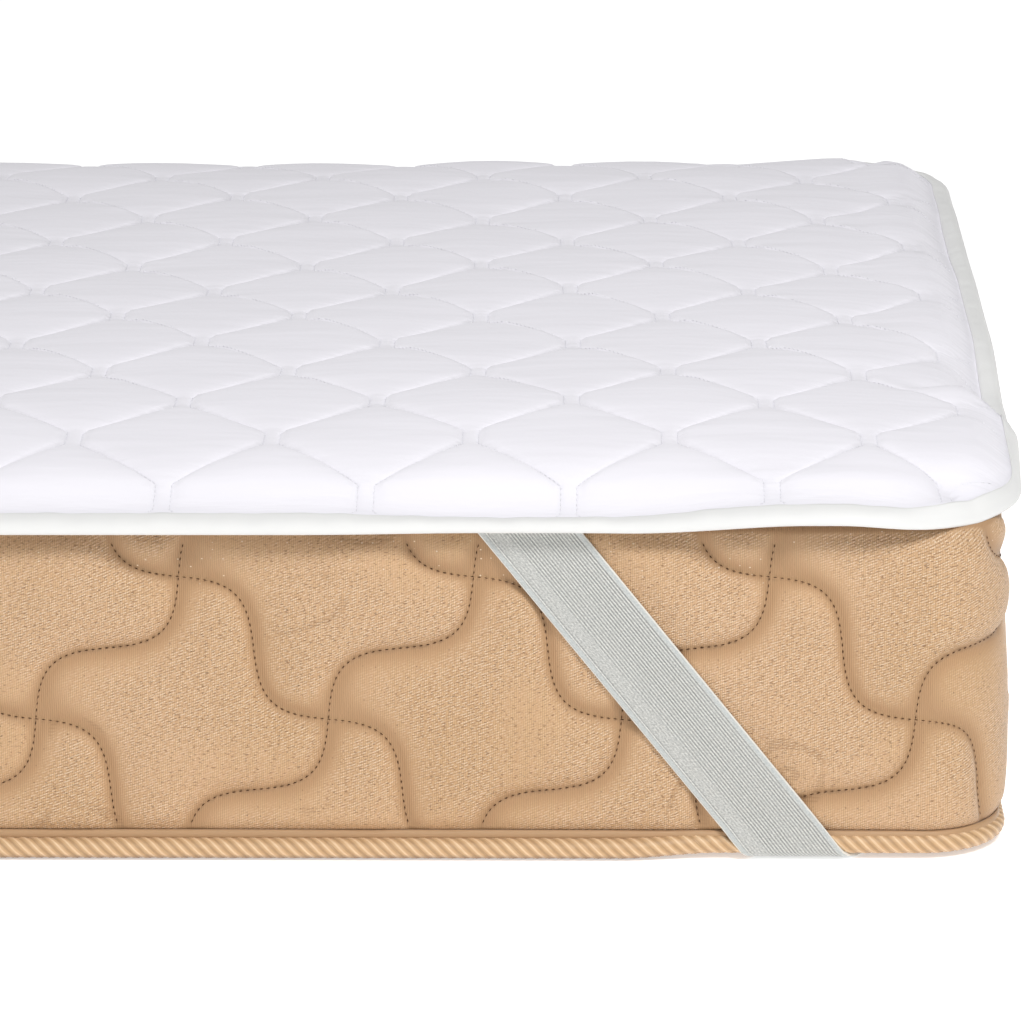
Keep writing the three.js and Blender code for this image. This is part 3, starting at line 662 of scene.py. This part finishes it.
def settle(x, y, z):
    """Settles the panel's edge: drawn in and down at a strap, up at a corner, with a tuck where
    the raised corner folds over the lower edge of the end beside it."""
    from_end = PANEL_HALF_LENGTH - np.abs(x)
    from_side = PANEL_HALF_WIDTH - np.abs(y)
    near_end = 1 - smooth_step(EDGE_BAND, SETTLED_REACH, from_end)
    near_side = 1 - smooth_step(EDGE_BAND, SETTLED_REACH, from_side)
    pull_end = near_end * (1 - smooth_step(*STRAP_PULL_REACH, np.abs(from_side - STRAP_PLACE)))
    pull_side = near_side * (1 - smooth_step(*STRAP_PULL_REACH, np.abs(from_end - STRAP_PLACE)))
    at_front = y < 0
    fold_place = FOLD_PLACE - FOLD_BEND * (1 - smooth_step(0, FOLD_BEND_REACH, from_end))
    past_fold = from_side - fold_place
    half_width = np.where(at_front, FOLD_HALF_WIDTH, BACK_FOLD_HALF_WIDTH)
    lift_side = near_side * (1 - smooth_step(*LIFT_REACH, from_end))
    lift_end = near_end * (1 - smooth_step(-half_width, half_width, past_fold))
    end_places, end_shares = zip(*END_RISE_SHARES)
    lift_middle = ease(END_RISES, y) * np.interp(from_end, end_places, end_shares)
    lift = np.maximum(CORNER_LIFT * np.maximum(lift_end, lift_side), lift_middle)
    from_edge = PANEL_CORNER_RADIUS - np.hypot(np.maximum(PANEL_CORNER_RADIUS - from_end, 0),
                                               np.maximum(PANEL_CORNER_RADIUS - from_side, 0))
    inside = np.clip(from_edge / EDGE_BAND, 0, 1)
    folded = (1 - smooth_step(*FOLD_REACH, from_end)) * at_front
    push = FOLD_PUSH * folded * np.exp(-((past_fold - FOLD_PUSH_AT) / FOLD_PUSH_WIDTH) ** 2)
    ridge = FOLD_RIDGE * folded * np.exp(-((past_fold - FOLD_RIDGE_AT) / FOLD_RIDGE_WIDTH) ** 2)
    valley = FOLD_VALLEY * folded * np.exp(
        -((past_fold - FOLD_VALLEY_AT) / FOLD_VALLEY_WIDTH) ** 2)
    behind = smooth_step(*GUTTER_STARTS, past_fold) * (1 - smooth_step(*GUTTER_FADES, past_fold))
    gutter = GUTTER_DEPTH * behind * at_front * np.exp(
        -((from_end - GUTTER_PLACE) / GUTTER_HALF_WIDTH) ** 2)
    in_lobe = (1 - smooth_step(*LOBE_STOPS, past_fold)) * smooth_step(*LOBE_STARTS, from_side)
    in_lobe = in_lobe * at_front
    drooping = at_front * (1 - smooth_step(
        *FRONT_DROOP_REACH, np.hypot(from_end, FRONT_DROOP_ALONG_END * from_side)))
    droop = FRONT_DROOP * drooping
    tuck = FRONT_TUCK * drooping * (1 - inside) * math.sqrt(0.5)
    edge_places, edge_shifts, edge_rises = zip(*LOBE_BAND)
    shift = in_lobe * np.interp(from_end, edge_places, edge_shifts)
    rise = in_lobe * np.interp(from_end, edge_places, edge_rises)
    to_corner = np.hypot(from_end, from_side)
    corner_rise = np.where(
        at_front, FRONT_CORNER_RISE * inside * (1 - smooth_step(*FRONT_RISE_REACH, to_corner)),
        BACK_CORNER_RISE * (1 - smooth_step(*BACK_RISE_REACH, to_corner)))
    return np.stack([
        x - np.sign(x) * (END_PULL_IN * pull_end - shift + tuck),
        y - np.sign(y) * (SIDE_PULL_IN * pull_side + push + tuck),
        z + lift + ridge - valley - gutter + rise + corner_rise - droop
        - STRAP_PULL_DOWN * inside * np.maximum(pull_end, pull_side),
    ], axis=-1)


def seam_x(seam, y):
    """Where a seam lies at a place across the bed. Neighbouring seams swing opposite ways."""
    rows = (y - FIRST_NODE_ROW_Y) / NODE_ROW_SPACING
    nearest = np.round(rows)
    flat = HALF_NODE / NODE_ROW_SPACING
    away = np.maximum(0, np.abs(rows - nearest) - flat) / (1 - 2 * flat)
    swing = np.where(nearest % 2 == 0, 1, -1) * (1 - 2 * away)
    lean = SEAM_LEAN * np.maximum(0, y - LEAN_STARTS_Y)
    parity = np.where(np.asarray(seam) % 2 == 0, -1, 1)
    return FIRST_SEAM_X + seam * SEAM_SPACING - lean + parity * SEAM_SWING * swing


def seam_softness(seam, y):
    """How much a seam spares the wadding, from 0 to 1. Where a seam runs back to the left its
    crease is shallow, and more so toward the back."""
    rows = (y - FIRST_NODE_ROW_Y) / NODE_ROW_SPACING
    share = rows - np.floor(rows)
    to_left = (np.floor(rows) + seam) % 2 == 1
    between = smooth_step(0.12, 0.35, share) * (1 - smooth_step(0.65, 0.88, share))
    return SOFT_SEAM * to_left * between * smooth_step(*SOFT_SEAM_STARTS, y)


def panel_top(x, y):
    """The height of the panel's top at a place on its rectangle, and how full its puff is."""
    from_end = PANEL_HALF_LENGTH - np.abs(x)
    from_side = PANEL_HALF_WIDTH - np.abs(y)
    overlap = np.maximum(CORNER_BLEND - np.abs(from_end - from_side), 0) / CORNER_BLEND
    inward = np.maximum(np.minimum(from_end, from_side) - overlap ** 2 * CORNER_BLEND / 4,
                        EDGE_BAND)
    to_end = smooth_step(-40, 40, from_side - from_end)
    drop = ease(PANEL_SIDE_DROPS, inward) * (1 - to_end) + ease(PANEL_END_DROPS, inward) * to_end
    seams = seam_x(np.arange(SEAM_COUNT), y[..., None])
    gap = seams - x[..., None]
    left = np.min(np.where(gap <= 0, -gap, 1e3), axis=-1)
    right = np.min(np.where(gap > 0, gap, 1e3), axis=-1)
    width = np.clip(left + right, 1, 100)
    left_seam = np.argmin(np.where(gap <= 0, -gap, 1e3), axis=-1)
    soft_left, soft_right = seam_softness(left_seam, y), seam_softness(left_seam + 1, y)
    share = np.clip(left / width, 0, 1)
    soft = soft_left * (1 - smooth_step(0, 1, share)) + soft_right * smooth_step(0, 1, share)
    dome = soft + (1 - soft) * np.sin(math.pi * share)
    crease = ((1 - (1 - soft_left) * np.exp(-left / SEAM_CREASE))
              * (1 - (1 - soft_right) * np.exp(-right / SEAM_CREASE)))
    fill = (1 - np.exp(-width / PUFF_FILL_WIDTH)) * smooth_step(EDGE_BAND, 30, inward)
    puff = fill * (CREASE_SHARE * crease + (1 - CREASE_SHARE) * dome)
    swell = (0.9 * np.sin(x / 57 + 0.6) * np.sin(y / 49 + 1.1)
             + 0.6 * np.sin(x / 23 - y / 71) * np.sin(y / 29 + x / 90 + 0.4))
    return PANEL_TOP - drop + PUFF_HEIGHT * puff + swell * smooth_step(15, 60, inward), puff


def panel_point(x, y, z):
    round_x, round_y = round_panel_corner(x, y)
    return settle(round_x, round_y, z)


def quilted_cotton():
    """Smooth bleached cotton: matt, with a faint sheen, small puckers drawn by the stitches and
    a plain weave of fine threads."""
    material, tree, shader = new_material("quilted_cotton", Roughness=0.8, Sheen_Weight=0.25,
                                          Sheen_Roughness=0.5, Specular_IOR_Level=0.25)
    place = add_node(tree, "ShaderNodeTexCoord").outputs["Object"]
    puff = add_node(tree, "ShaderNodeAttribute", attribute_name="puff").outputs["Fac"]
    tone = noise(tree, place, 9.0, 2.0)
    colour = mix_colours(tree, tone, srgb("#ebe9ef"), srgb("#eeecf2"))
    # Painted shade: the cloth is a little darker down in the seams, where the puffs fold into the crease.
    colour = mix_colours(tree, fade(tree, puff, 0.0, 0.2, 0.15, 0.0), colour, srgb("#d5d5de"))
    tree.links.new(colour, shader.inputs["Base Color"])
    puckers = noise(tree, stretch(tree, place, 34, 190, 60), 1.0, 2.0)
    near_seam = fade(tree, puff, 0.75, 0.1, 0.25, 1.0)
    folds = bump(tree, calculate(tree, "MULTIPLY", puckers, near_seam), 1.6, strength=0.45)
    soft = noise(tree, stretch(tree, place, 11, 42, 20), 1.0, 2.0)
    folds = bump(tree, soft, 3.0, folds, 0.5)
    weave = bump(tree, noise(tree, place, 2600.0, 0.0), 0.05, folds, 0.4)
    tree.links.new(weave, shader.inputs["Normal"])
    return material


def panel_rows():
    """Rows across the bed, with one at both ends of every node and more across the tucks."""
    reach = PANEL_HALF_WIDTH - EDGE_BAND
    stops = {-reach, reach}
    for row in range(NODE_ROWS):
        for end in (-HALF_NODE, HALF_NODE):
            y = FIRST_NODE_ROW_Y + row * NODE_ROW_SPACING + end
            if abs(y) < reach - 4:
                stops.add(y)
    stops = sorted(stops)
    rows = []
    for start, end in zip(stops, stops[1:]):
        rows.extend(np.linspace(start, end, max(1, round((end - start) / ROW_STEP)), endpoint=False))
    rows.append(reach)
    fold = PANEL_HALF_WIDTH - FOLD_PLACE
    between = [(a + b) / 2 for a, b in zip(rows, rows[1:]) if abs(abs(a + b) / 2 - fold) < 20]
    return np.array(sorted(rows + between))


rows = panel_rows()
reach = PANEL_HALF_LENGTH - EDGE_BAND
borders = np.concatenate([np.full((len(rows), 1), -reach),
                          seam_x(np.arange(1, SEAM_COUNT - 1), rows[:, None]),
                          np.full((len(rows), 1), reach)], axis=1)
steps = np.array(CELL_STEPS)
columns = borders[:, :-1, None] + (borders[:, 1:] - borders[:, :-1])[..., None] * steps
x = np.concatenate([columns.reshape(len(rows), -1), borders[:, -1:]], axis=1)
y = rows[:, None] + 0 * x
z, puff = panel_top(x, y)
top = panel_point(x, y, z)
faces, corners = grid_faces(*x.shape)

index = np.arange(x.size).reshape(x.shape)
rim = np.concatenate([index[0, :-1], index[:-1, -1], index[-1, :0:-1], index[:0:-1, 0]])
rim_x, rim_y = x.ravel()[rim], y.ravel()[rim]
rim_round = np.stack(round_panel_corner(rim_x, rim_y), axis=1)
centre = np.stack([np.clip(rim_round[:, 0], -PANEL_HALF_LENGTH + PANEL_CORNER_RADIUS,
                           PANEL_HALF_LENGTH - PANEL_CORNER_RADIUS),
                   np.clip(rim_round[:, 1], -PANEL_HALF_WIDTH + PANEL_CORNER_RADIUS,
                           PANEL_HALF_WIDTH - PANEL_CORNER_RADIUS)], axis=1)
rim_out = rim_round - centre
on_side = np.abs(rim_y) >= PANEL_HALF_WIDTH - EDGE_BAND - 1e-6
straight = ((np.abs(rim_x) <= PANEL_HALF_LENGTH - PANEL_CORNER_RADIUS)
            | (np.abs(rim_y) <= PANEL_HALF_WIDTH - PANEL_CORNER_RADIUS))
rim_out[straight & on_side] = np.stack([0 * rim_y, np.sign(rim_y)], axis=1)[straight & on_side]
rim_out[straight & ~on_side] = np.stack([np.sign(rim_x), 0 * rim_x], axis=1)[straight & ~on_side]
rim_out /= np.linalg.norm(rim_out, axis=1)[:, None]
tip = rim_round + rim_out * EDGE_BAND
under = [settle(*tip.T, height) for height in PANEL_TIP_HEIGHTS]
under.append(settle(*rim_round.T, PANEL_RIM_UNDERSIDE))
for inward, height in PANEL_UNDERSIDE:
    shrunk_x = rim_x * (PANEL_HALF_LENGTH - inward) / (PANEL_HALF_LENGTH - EDGE_BAND)
    shrunk_y = rim_y * (PANEL_HALF_WIDTH - inward) / (PANEL_HALF_WIDTH - EDGE_BAND)
    under.append(panel_point(shrunk_x, shrunk_y, height))
under = np.stack(under)
under_faces, unused = grid_faces(*under.shape[:2], tube=True)
under_faces = under_faces[:, ::-1] + x.size
ring_next = np.roll(np.arange(len(rim)), -1)
joint = np.stack([rim, rim[ring_next], x.size + ring_next, x.size + np.arange(len(rim))], axis=1)[:, ::-1]
last_ring = x.size + (len(under) - 1) * len(rim) + np.arange(len(rim))
points = np.concatenate([top.reshape(-1, 3), under.reshape(-1, 3)])
fullness = np.concatenate([puff.ravel(), np.ones(under.shape[0] * under.shape[1])])
panel = make_piece("quilted_panel", points, np.concatenate([faces, under_faces, joint]),
                   quilted_cotton(), marks={"puff": fullness}, caps=[last_ring[::-1]])
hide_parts("protector_panel")


# --- Quilting stitches of the panel -----------------------------------------------------------
# White thread, 8 stitches an inch, sunk in the wavy seams.

PANEL_STITCH = 3.1
PANEL_THREAD_LENGTH = 2.1
PANEL_THREAD_WIDTH = 0.55
PANEL_THREAD_RAISED = 0.3


def white_thread():
    """White polyester thread, a little brighter than the cloth that it sinks into."""
    material, tree, shader = new_material("white_thread", Roughness=0.5)
    place = add_node(tree, "ShaderNodeTexCoord").outputs["Object"]
    colour = mix_colours(tree, noise(tree, place, 900.0), srgb("#fbfbfd"), srgb("#e4e4ea"))
    tree.links.new(colour, shader.inputs["Base Color"])
    return material


limit = PANEL_HALF_WIDTH - EDGE_BAND - 1
line_y = np.linspace(-limit, limit, 1200)
seam_ends = []
for seam in range(SEAM_COUNT):
    line = np.stack([seam_x(seam, line_y), line_y], axis=1)
    line = line[np.abs(line[:, 0]) < PANEL_HALF_LENGTH - EDGE_BAND - 1]
    if len(line) > 10:
        for part in np.split(line, np.nonzero(np.diff(line[:, 1]) > 2)[0] + 1):
            if len(part) > 8:
                seam_ends.append(along_line(part, PANEL_STITCH, PANEL_THREAD_LENGTH))
first, second = (np.concatenate(ends) for ends in zip(*seam_ends))
first = panel_point(*first.T, panel_top(*first.T)[0])
second = panel_point(*second.T, panel_top(*second.T)[0])
upright = np.tile([0.0, 0.0, 1.0], (len(first), 1))
stitches = make_stitches("panel_stitching", first + upright * PANEL_THREAD_RAISED,
                         second + upright * PANEL_THREAD_RAISED, upright, PANEL_THREAD_WIDTH,
                         white_thread())


# --- Edge binding -----------------------------------------------------------------------------
# A strip of plain white cotton, folded over the panel's raw edge all round and sewn through
# close to its upper fold.

BINDING_MIDDLE = 172
BINDING_SLOPE = 0.466
BINDING_SECTION = [(9.6, 0.2), (9.4, 1.2), (8.6, 2), (7, 2.3), (4, 3), (1.2, 2.9), (-0.6, 2),
                   (-1.6, 0.6), (-1.8, -0.8), (-1.1, -1.9), (0.8, -2.3), (5, -2.4),
                   (8.2, -2.2), (8.4, -1.4), (3, -1.3), (-0.2, -1.3), (-0.6, 0), (-0.2, 1.3),
                   (3, 1.3), (8.2, 1.0)]
BINDING_STATION = 3.0
BINDING_PUCKER = 0.45
BINDING_PUCKERS_ROUND = (311, 187, 83)


def binding_cloth():
    """Smooth plain cotton: matt, in a more neutral white than the panel, with painted shade
    along its edge at the seam."""
    material, tree, shader = new_material("white_binding", Roughness=0.62, Sheen_Weight=0.2,
                                          Sheen_Roughness=0.4)
    place = add_node(tree, "ShaderNodeUVMap", uv_map="cloth").outputs[0]
    tone = noise(tree, stretch(tree, place, 18, 120), 1.0, 2.0)
    colour = mix_colours(tree, tone, srgb("#dededd"), srgb("#e4e4e2"))
    across = add_node(tree, "ShaderNodeSeparateXYZ", {0: place}).outputs[1]
    # Painted shade: grey along the binding's inner edge, where its lip meets the panel.
    colour = mix_colours(tree, fade(tree, across, 2.6 * MM, 0.8 * MM, 0.0, 0.6), colour,
                         srgb("#a2a2a8"))
    tree.links.new(colour, shader.inputs["Base Color"])
    puckers = noise(tree, stretch(tree, place, 130, 30), 1.0, 2.0)
    tree.links.new(bump(tree, puckers, 0.6, strength=0.35), shader.inputs["Normal"])
    return material


EDGE = (PANEL_HALF_LENGTH - EDGE_BAND, PANEL_HALF_WIDTH - EDGE_BAND, PANEL_CORNER_RADIUS - EDGE_BAND)
EDGE_ROUND = round_length(*EDGE)
edge_places = np.linspace(-EDGE_ROUND / 2, EDGE_ROUND / 2, round(EDGE_ROUND / BINDING_STATION),
                          endpoint=False)
points, outward = walk(*EDGE, edge_places)
section = np.array(BINDING_SECTION)
inward, rise = section[None, :, 0], section[None, :, 1]
turn = edge_places[:, None] / EDGE_ROUND * 2 * math.pi
pucker = sum(np.sin(turn * count + shift) for shift, count in enumerate(BINDING_PUCKERS_ROUND)) / 3
on_top = np.clip(rise / 2.5, 0, 1) * np.clip(inward / 4 + 0.6, 0, 1) * (inward < 8.8)
out = EDGE_BAND - inward
height = BINDING_MIDDLE + BINDING_SLOPE * inward + rise + BINDING_PUCKER * pucker * on_top
binding = settle(points[:, None, 0] + outward[:, None, 0] * out,
                 points[:, None, 1] + outward[:, None, 1] * out, height)
faces, corners = grid_faces(*binding.shape[:2], ring=True, tube=True)
around = np.append(edge_places, EDGE_ROUND / 2)
cloth = np.stack([around[corners[..., 0]], corners[..., 1] * 2.0], axis=-1)
binding = make_piece("edge_binding_strip", binding.reshape(-1, 3), faces, binding_cloth(), cloth)
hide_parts("edge_binding")


# --- Elastic straps ---------------------------------------------------------------------------
# One 40 mm ribbed elastic at each corner, sewn under the binding on both sides of the corner.
# It is stretched slantwise down the border, round the piping and flat under the mattress.

STRAP_THICKNESS = 1.5
STRAP_ROUTE = [(1.05, 169.9), (1.05, 96), (1.05, 22), (1.6, 17), (3.3, 12.5), (3.9, 8.2),
               (3.2, 4.6), (0.5, 2.2), (-4, 1.05), (-14, 1.05)]
STRAP_ROW = 3.0
STRAP_COLUMNS = 33
RIB_COUNT = 28
SELVEDGE_WIDTH = 2.6
PLAIN_ZONE = (4.5, 9.5)
WEFT_PITCH = 0.9


def strap_route():
    """The strap's way over the side as close points, with its length and its direction out."""
    outward, height = np.array(STRAP_ROUTE, dtype=float).T
    lengths = np.concatenate([[0], np.cumsum(np.hypot(np.diff(outward), np.diff(height)))])
    places = np.unique(np.concatenate([lengths, np.arange(0, lengths[-1], STRAP_ROW)]))
    outward, height = np.interp(places, lengths, outward), np.interp(places, lengths, height)
    way = np.stack([np.gradient(outward, places), np.gradient(height, places)], axis=1)
    way /= np.linalg.norm(way, axis=1)[:, None]
    return outward, height, places, np.stack([-way[:, 1], way[:, 0]], axis=1)


def strap_side(offset):
    """Rows of a strap from the binding to the end of its route: along, across and height."""
    outward, height, places, turn = strap_route()
    start = STRAP_AT_BASE + math.tan(STRAP_ANGLE) * STRAP_ROUTE[0][1]
    middle = start - math.tan(STRAP_ANGLE) * places
    half_row = STRAP_WIDTH / 2 / math.cos(STRAP_ANGLE)
    spread = np.linspace(half_row, -half_row, STRAP_COLUMNS)
    along = middle[:, None] + spread
    across = -(outward + turn[:, 0] * offset)[:, None] + 0 * along
    up = (height + turn[:, 1] * offset)[:, None] + 0 * along
    return np.stack([along, across, up], axis=-1)


def strap_face(offset):
    """One face of a strap: down one side, under the corner and up the other side."""
    side = strap_side(offset)
    slope = math.tan(STRAP_ANGLE)
    last = side[-1]
    to_corner = (last[:, 0] + slope * last[:, 1]) / (1 + slope)
    middle = np.stack([to_corner, to_corner, last[:, 2]], axis=-1)[None]
    other = side[::-1, :, [1, 0, 2]]
    return np.concatenate([side, middle, other])


def elastic_webbing():
    """Woven elastic: fine rubber-cored ribs under a covering of grey polyester yarn, flatter
    in a zone near one edge, and a plain selvedge with a pale outer thread along both edges."""
    material, tree, shader = new_material("elastic_webbing", Roughness=0.6, Sheen_Weight=0.15)
    place = add_node(tree, "ShaderNodeUVMap", uv_map="cloth").outputs[0]
    along, across = (add_node(tree, "ShaderNodeSeparateXYZ", {0: place}).outputs[i] for i in (0, 1))
    pitch = STRAP_WIDTH * MM / RIB_COUNT
    wave = calculate(tree, "SINE", calculate(tree, "MULTIPLY", across, 2 * math.pi / pitch))
    weft = calculate(tree, "SINE",
                     calculate(tree, "MULTIPLY", along, 2 * math.pi / (WEFT_PITCH * MM)))
    from_edge = calculate(tree, "MINIMUM", across,
                          calculate(tree, "SUBTRACT", STRAP_WIDTH * MM, across))
    start, end = PLAIN_ZONE
    flat = calculate(tree, "MAXIMUM", fade(tree, across, start * MM, (start - 1) * MM),
                     fade(tree, across, end * MM, (end + 3) * MM))
    uneven = noise(tree, stretch(tree, place, 6, 260), 1.0, 1.0)
    ribbed = calculate(tree, "MULTIPLY", fade(tree, flat, 0.0, 1.0, 0.3, 1.0),
                       fade(tree, uneven, 0.3, 0.7, 0.6, 1.0))
    inside = fade(tree, from_edge, (SELVEDGE_WIDTH - 0.5) * MM, (SELVEDGE_WIDTH + 0.5) * MM)
    ribbed = calculate(tree, "MULTIPLY", ribbed, inside)
    groove = calculate(tree, "MULTIPLY", fade(tree, wave, 0.1, -0.8), ribbed)
    ridge = calculate(tree, "MULTIPLY", fade(tree, wave, 0.55, 0.95), ribbed)
    outer = fade(tree, from_edge, 0.7 * MM, 0.35 * MM)
    grain = noise(tree, stretch(tree, place, 900, 1400), 1.0, 1.0)
    colour = mix_colours(tree, fade(tree, grain, 0.32, 0.68), srgb("#a3a4a1"), srgb("#c8c8c4"))
    colour = mix_colours(tree, fade(tree, inside, 0.0, 1.0, 0.5, 0.0), colour, srgb("#b9c0c0"))
    # Painted shade and highlight: the rib grooves are painted darker and the rib crests paler.
    colour = mix_colours(tree, calculate(tree, "MULTIPLY", groove, 0.75), colour, srgb("#7c7e7c"))
    colour = mix_colours(tree, calculate(tree, "MULTIPLY", ridge, 0.65), colour, srgb("#e6e6e1"))
    colour = mix_colours(tree, calculate(tree, "MULTIPLY", outer, 0.8), colour, srgb("#e9e6de"))
    tree.links.new(colour, shader.inputs["Base Color"])
    relief = calculate(tree, "ADD", calculate(tree, "MULTIPLY", groove, -1.0),
                       calculate(tree, "MULTIPLY", weft, 0.12))
    tree.links.new(bump(tree, relief, 0.2), shader.inputs["Normal"])
    return material


webbing = elastic_webbing()
for name, sign_x, sign_y in (("strap_front_right", 1, -1), ("strap_front_left", -1, -1),
                             ("strap_back_right", 1, 1), ("strap_back_left", -1, 1)):
    outer, inner = strap_face(STRAP_THICKNESS / 2), strap_face(-STRAP_THICKNESS / 2)
    band = np.concatenate([outer, inner[:, ::-1]], axis=1)
    points = np.stack([sign_x * (MATTRESS_HALF_LENGTH - band[..., 0]),
                       sign_y * (MATTRESS_HALF_WIDTH - band[..., 1]), band[..., 2]], axis=-1)
    faces, corners = grid_faces(*band.shape[:2], tube=True)
    middle = outer[:, STRAP_COLUMNS // 2]
    run = np.concatenate([[0], np.cumsum(np.linalg.norm(np.diff(middle, axis=0), axis=1))])
    width = np.linspace(0, STRAP_WIDTH, STRAP_COLUMNS)
    width = np.concatenate([width, width[::-1], width[:1]])
    cloth = np.stack([run[corners[..., 0]], width[corners[..., 1]]], axis=-1)
    count = band.shape[1]
    caps = [np.arange(count), (np.arange(count) + (band.shape[0] - 1) * count)[::-1]]
    strap = make_piece(name + "_elastic", points.reshape(-1, 3), faces, webbing, cloth, caps=caps)
    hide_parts(name)


# --- Floor, light and camera ------------------------------------------------------------------
# A plain white sweep under soft studio light: a large soft box in front to the right, and an
# even white surround.

FLOOR_HALF = 9.0
SURROUND = 0.53
SURROUND_RIGHT = 0.08
FLOOR_GLOW = 0.44
KEY_PLACE = (1.75, -2.25, 2.95)
KEY_AIM = (0.7, -0.2, 0.1)
KEY_SIZE = (1.0, 1.0)
KEY_WATTS = 85
CAMERA_FOCAL_LENGTH = 179.95
CAMERA_PITCH = 15.496
CAMERA_ROLL = 0.369
CAMERA_YAW = 1.356
CAMERA_FROM_END = 180.8
CAMERA_BEFORE_FRONT = 2394.5
CAMERA_HEIGHT = 841.8


def floor_paint():
    """Matt white studio paint, faintly uneven, with a little glow so that it stays white."""
    material, tree, shader = new_material("floor_white", Roughness=0.9, Specular_IOR_Level=0.1)
    place = add_node(tree, "ShaderNodeTexCoord").outputs["Object"]
    colour = mix_colours(tree, noise(tree, place, 2.0), srgb("#fdfdfd"), srgb("#ffffff"))
    tree.links.new(colour, shader.inputs["Base Color"])
    shader.inputs["Emission Color"].default_value = srgb("#ffffff")
    shader.inputs["Emission Strength"].default_value = FLOOR_GLOW
    return material


mesh = bpy.data.meshes.new("studio_floor")
mesh.from_pydata([(x, y, 0) for x, y in ((-FLOOR_HALF, -FLOOR_HALF), (FLOOR_HALF, -FLOOR_HALF),
                                         (FLOOR_HALF, FLOOR_HALF), (-FLOOR_HALF, FLOOR_HALF))],
                 [], [(0, 1, 2, 3)])
mesh.materials.append(floor_paint())
floor = bpy.data.objects.new("studio_floor", mesh)
bpy.context.collection.objects.link(floor)

world = bpy.data.worlds.new("studio_surround")
bpy.context.scene.world = world
world.use_nodes = True
tree = world.node_tree
direction = add_node(tree, "ShaderNodeTexCoord").outputs["Generated"]
rightward = add_node(tree, "ShaderNodeSeparateXYZ", {0: direction}).outputs[0]
background = tree.nodes["Background"]
background.inputs["Color"].default_value = srgb("#ffffff")
tree.links.new(fade(tree, rightward, 0.2, 1.0, SURROUND, SURROUND_RIGHT),
               background.inputs["Strength"])


def soft_box(name, place, aim, size, watts):
    lamp = bpy.data.lights.new(name, "AREA")
    lamp.shape = "RECTANGLE"
    lamp.size, lamp.size_y = size
    lamp.energy = watts
    holder = bpy.data.objects.new(name, lamp)
    bpy.context.collection.objects.link(holder)
    holder.location = place
    holder.rotation_euler = (Vector(aim) - Vector(place)).to_track_quat("-Z", "Y").to_euler()


soft_box("key_soft_box", KEY_PLACE, KEY_AIM, KEY_SIZE, KEY_WATTS)

camera = bpy.data.objects.new("camera", bpy.data.cameras.new("camera"))
camera.data.lens = CAMERA_FOCAL_LENGTH
camera.data.sensor_width = 36
camera.data.clip_end = 100
camera.location = Vector((MATTRESS_HALF_LENGTH - CAMERA_FROM_END,
                          -MATTRESS_HALF_WIDTH - CAMERA_BEFORE_FRONT, CAMERA_HEIGHT)) * MM
camera.rotation_euler = (math.radians(90 - CAMERA_PITCH), math.radians(CAMERA_ROLL),
                         math.radians(CAMERA_YAW))
bpy.context.collection.objects.link(camera)
bpy.context.scene.camera = camera
bpy.context.scene.view_settings.view_transform = "Standard"

bpy.context.view_layer.update()
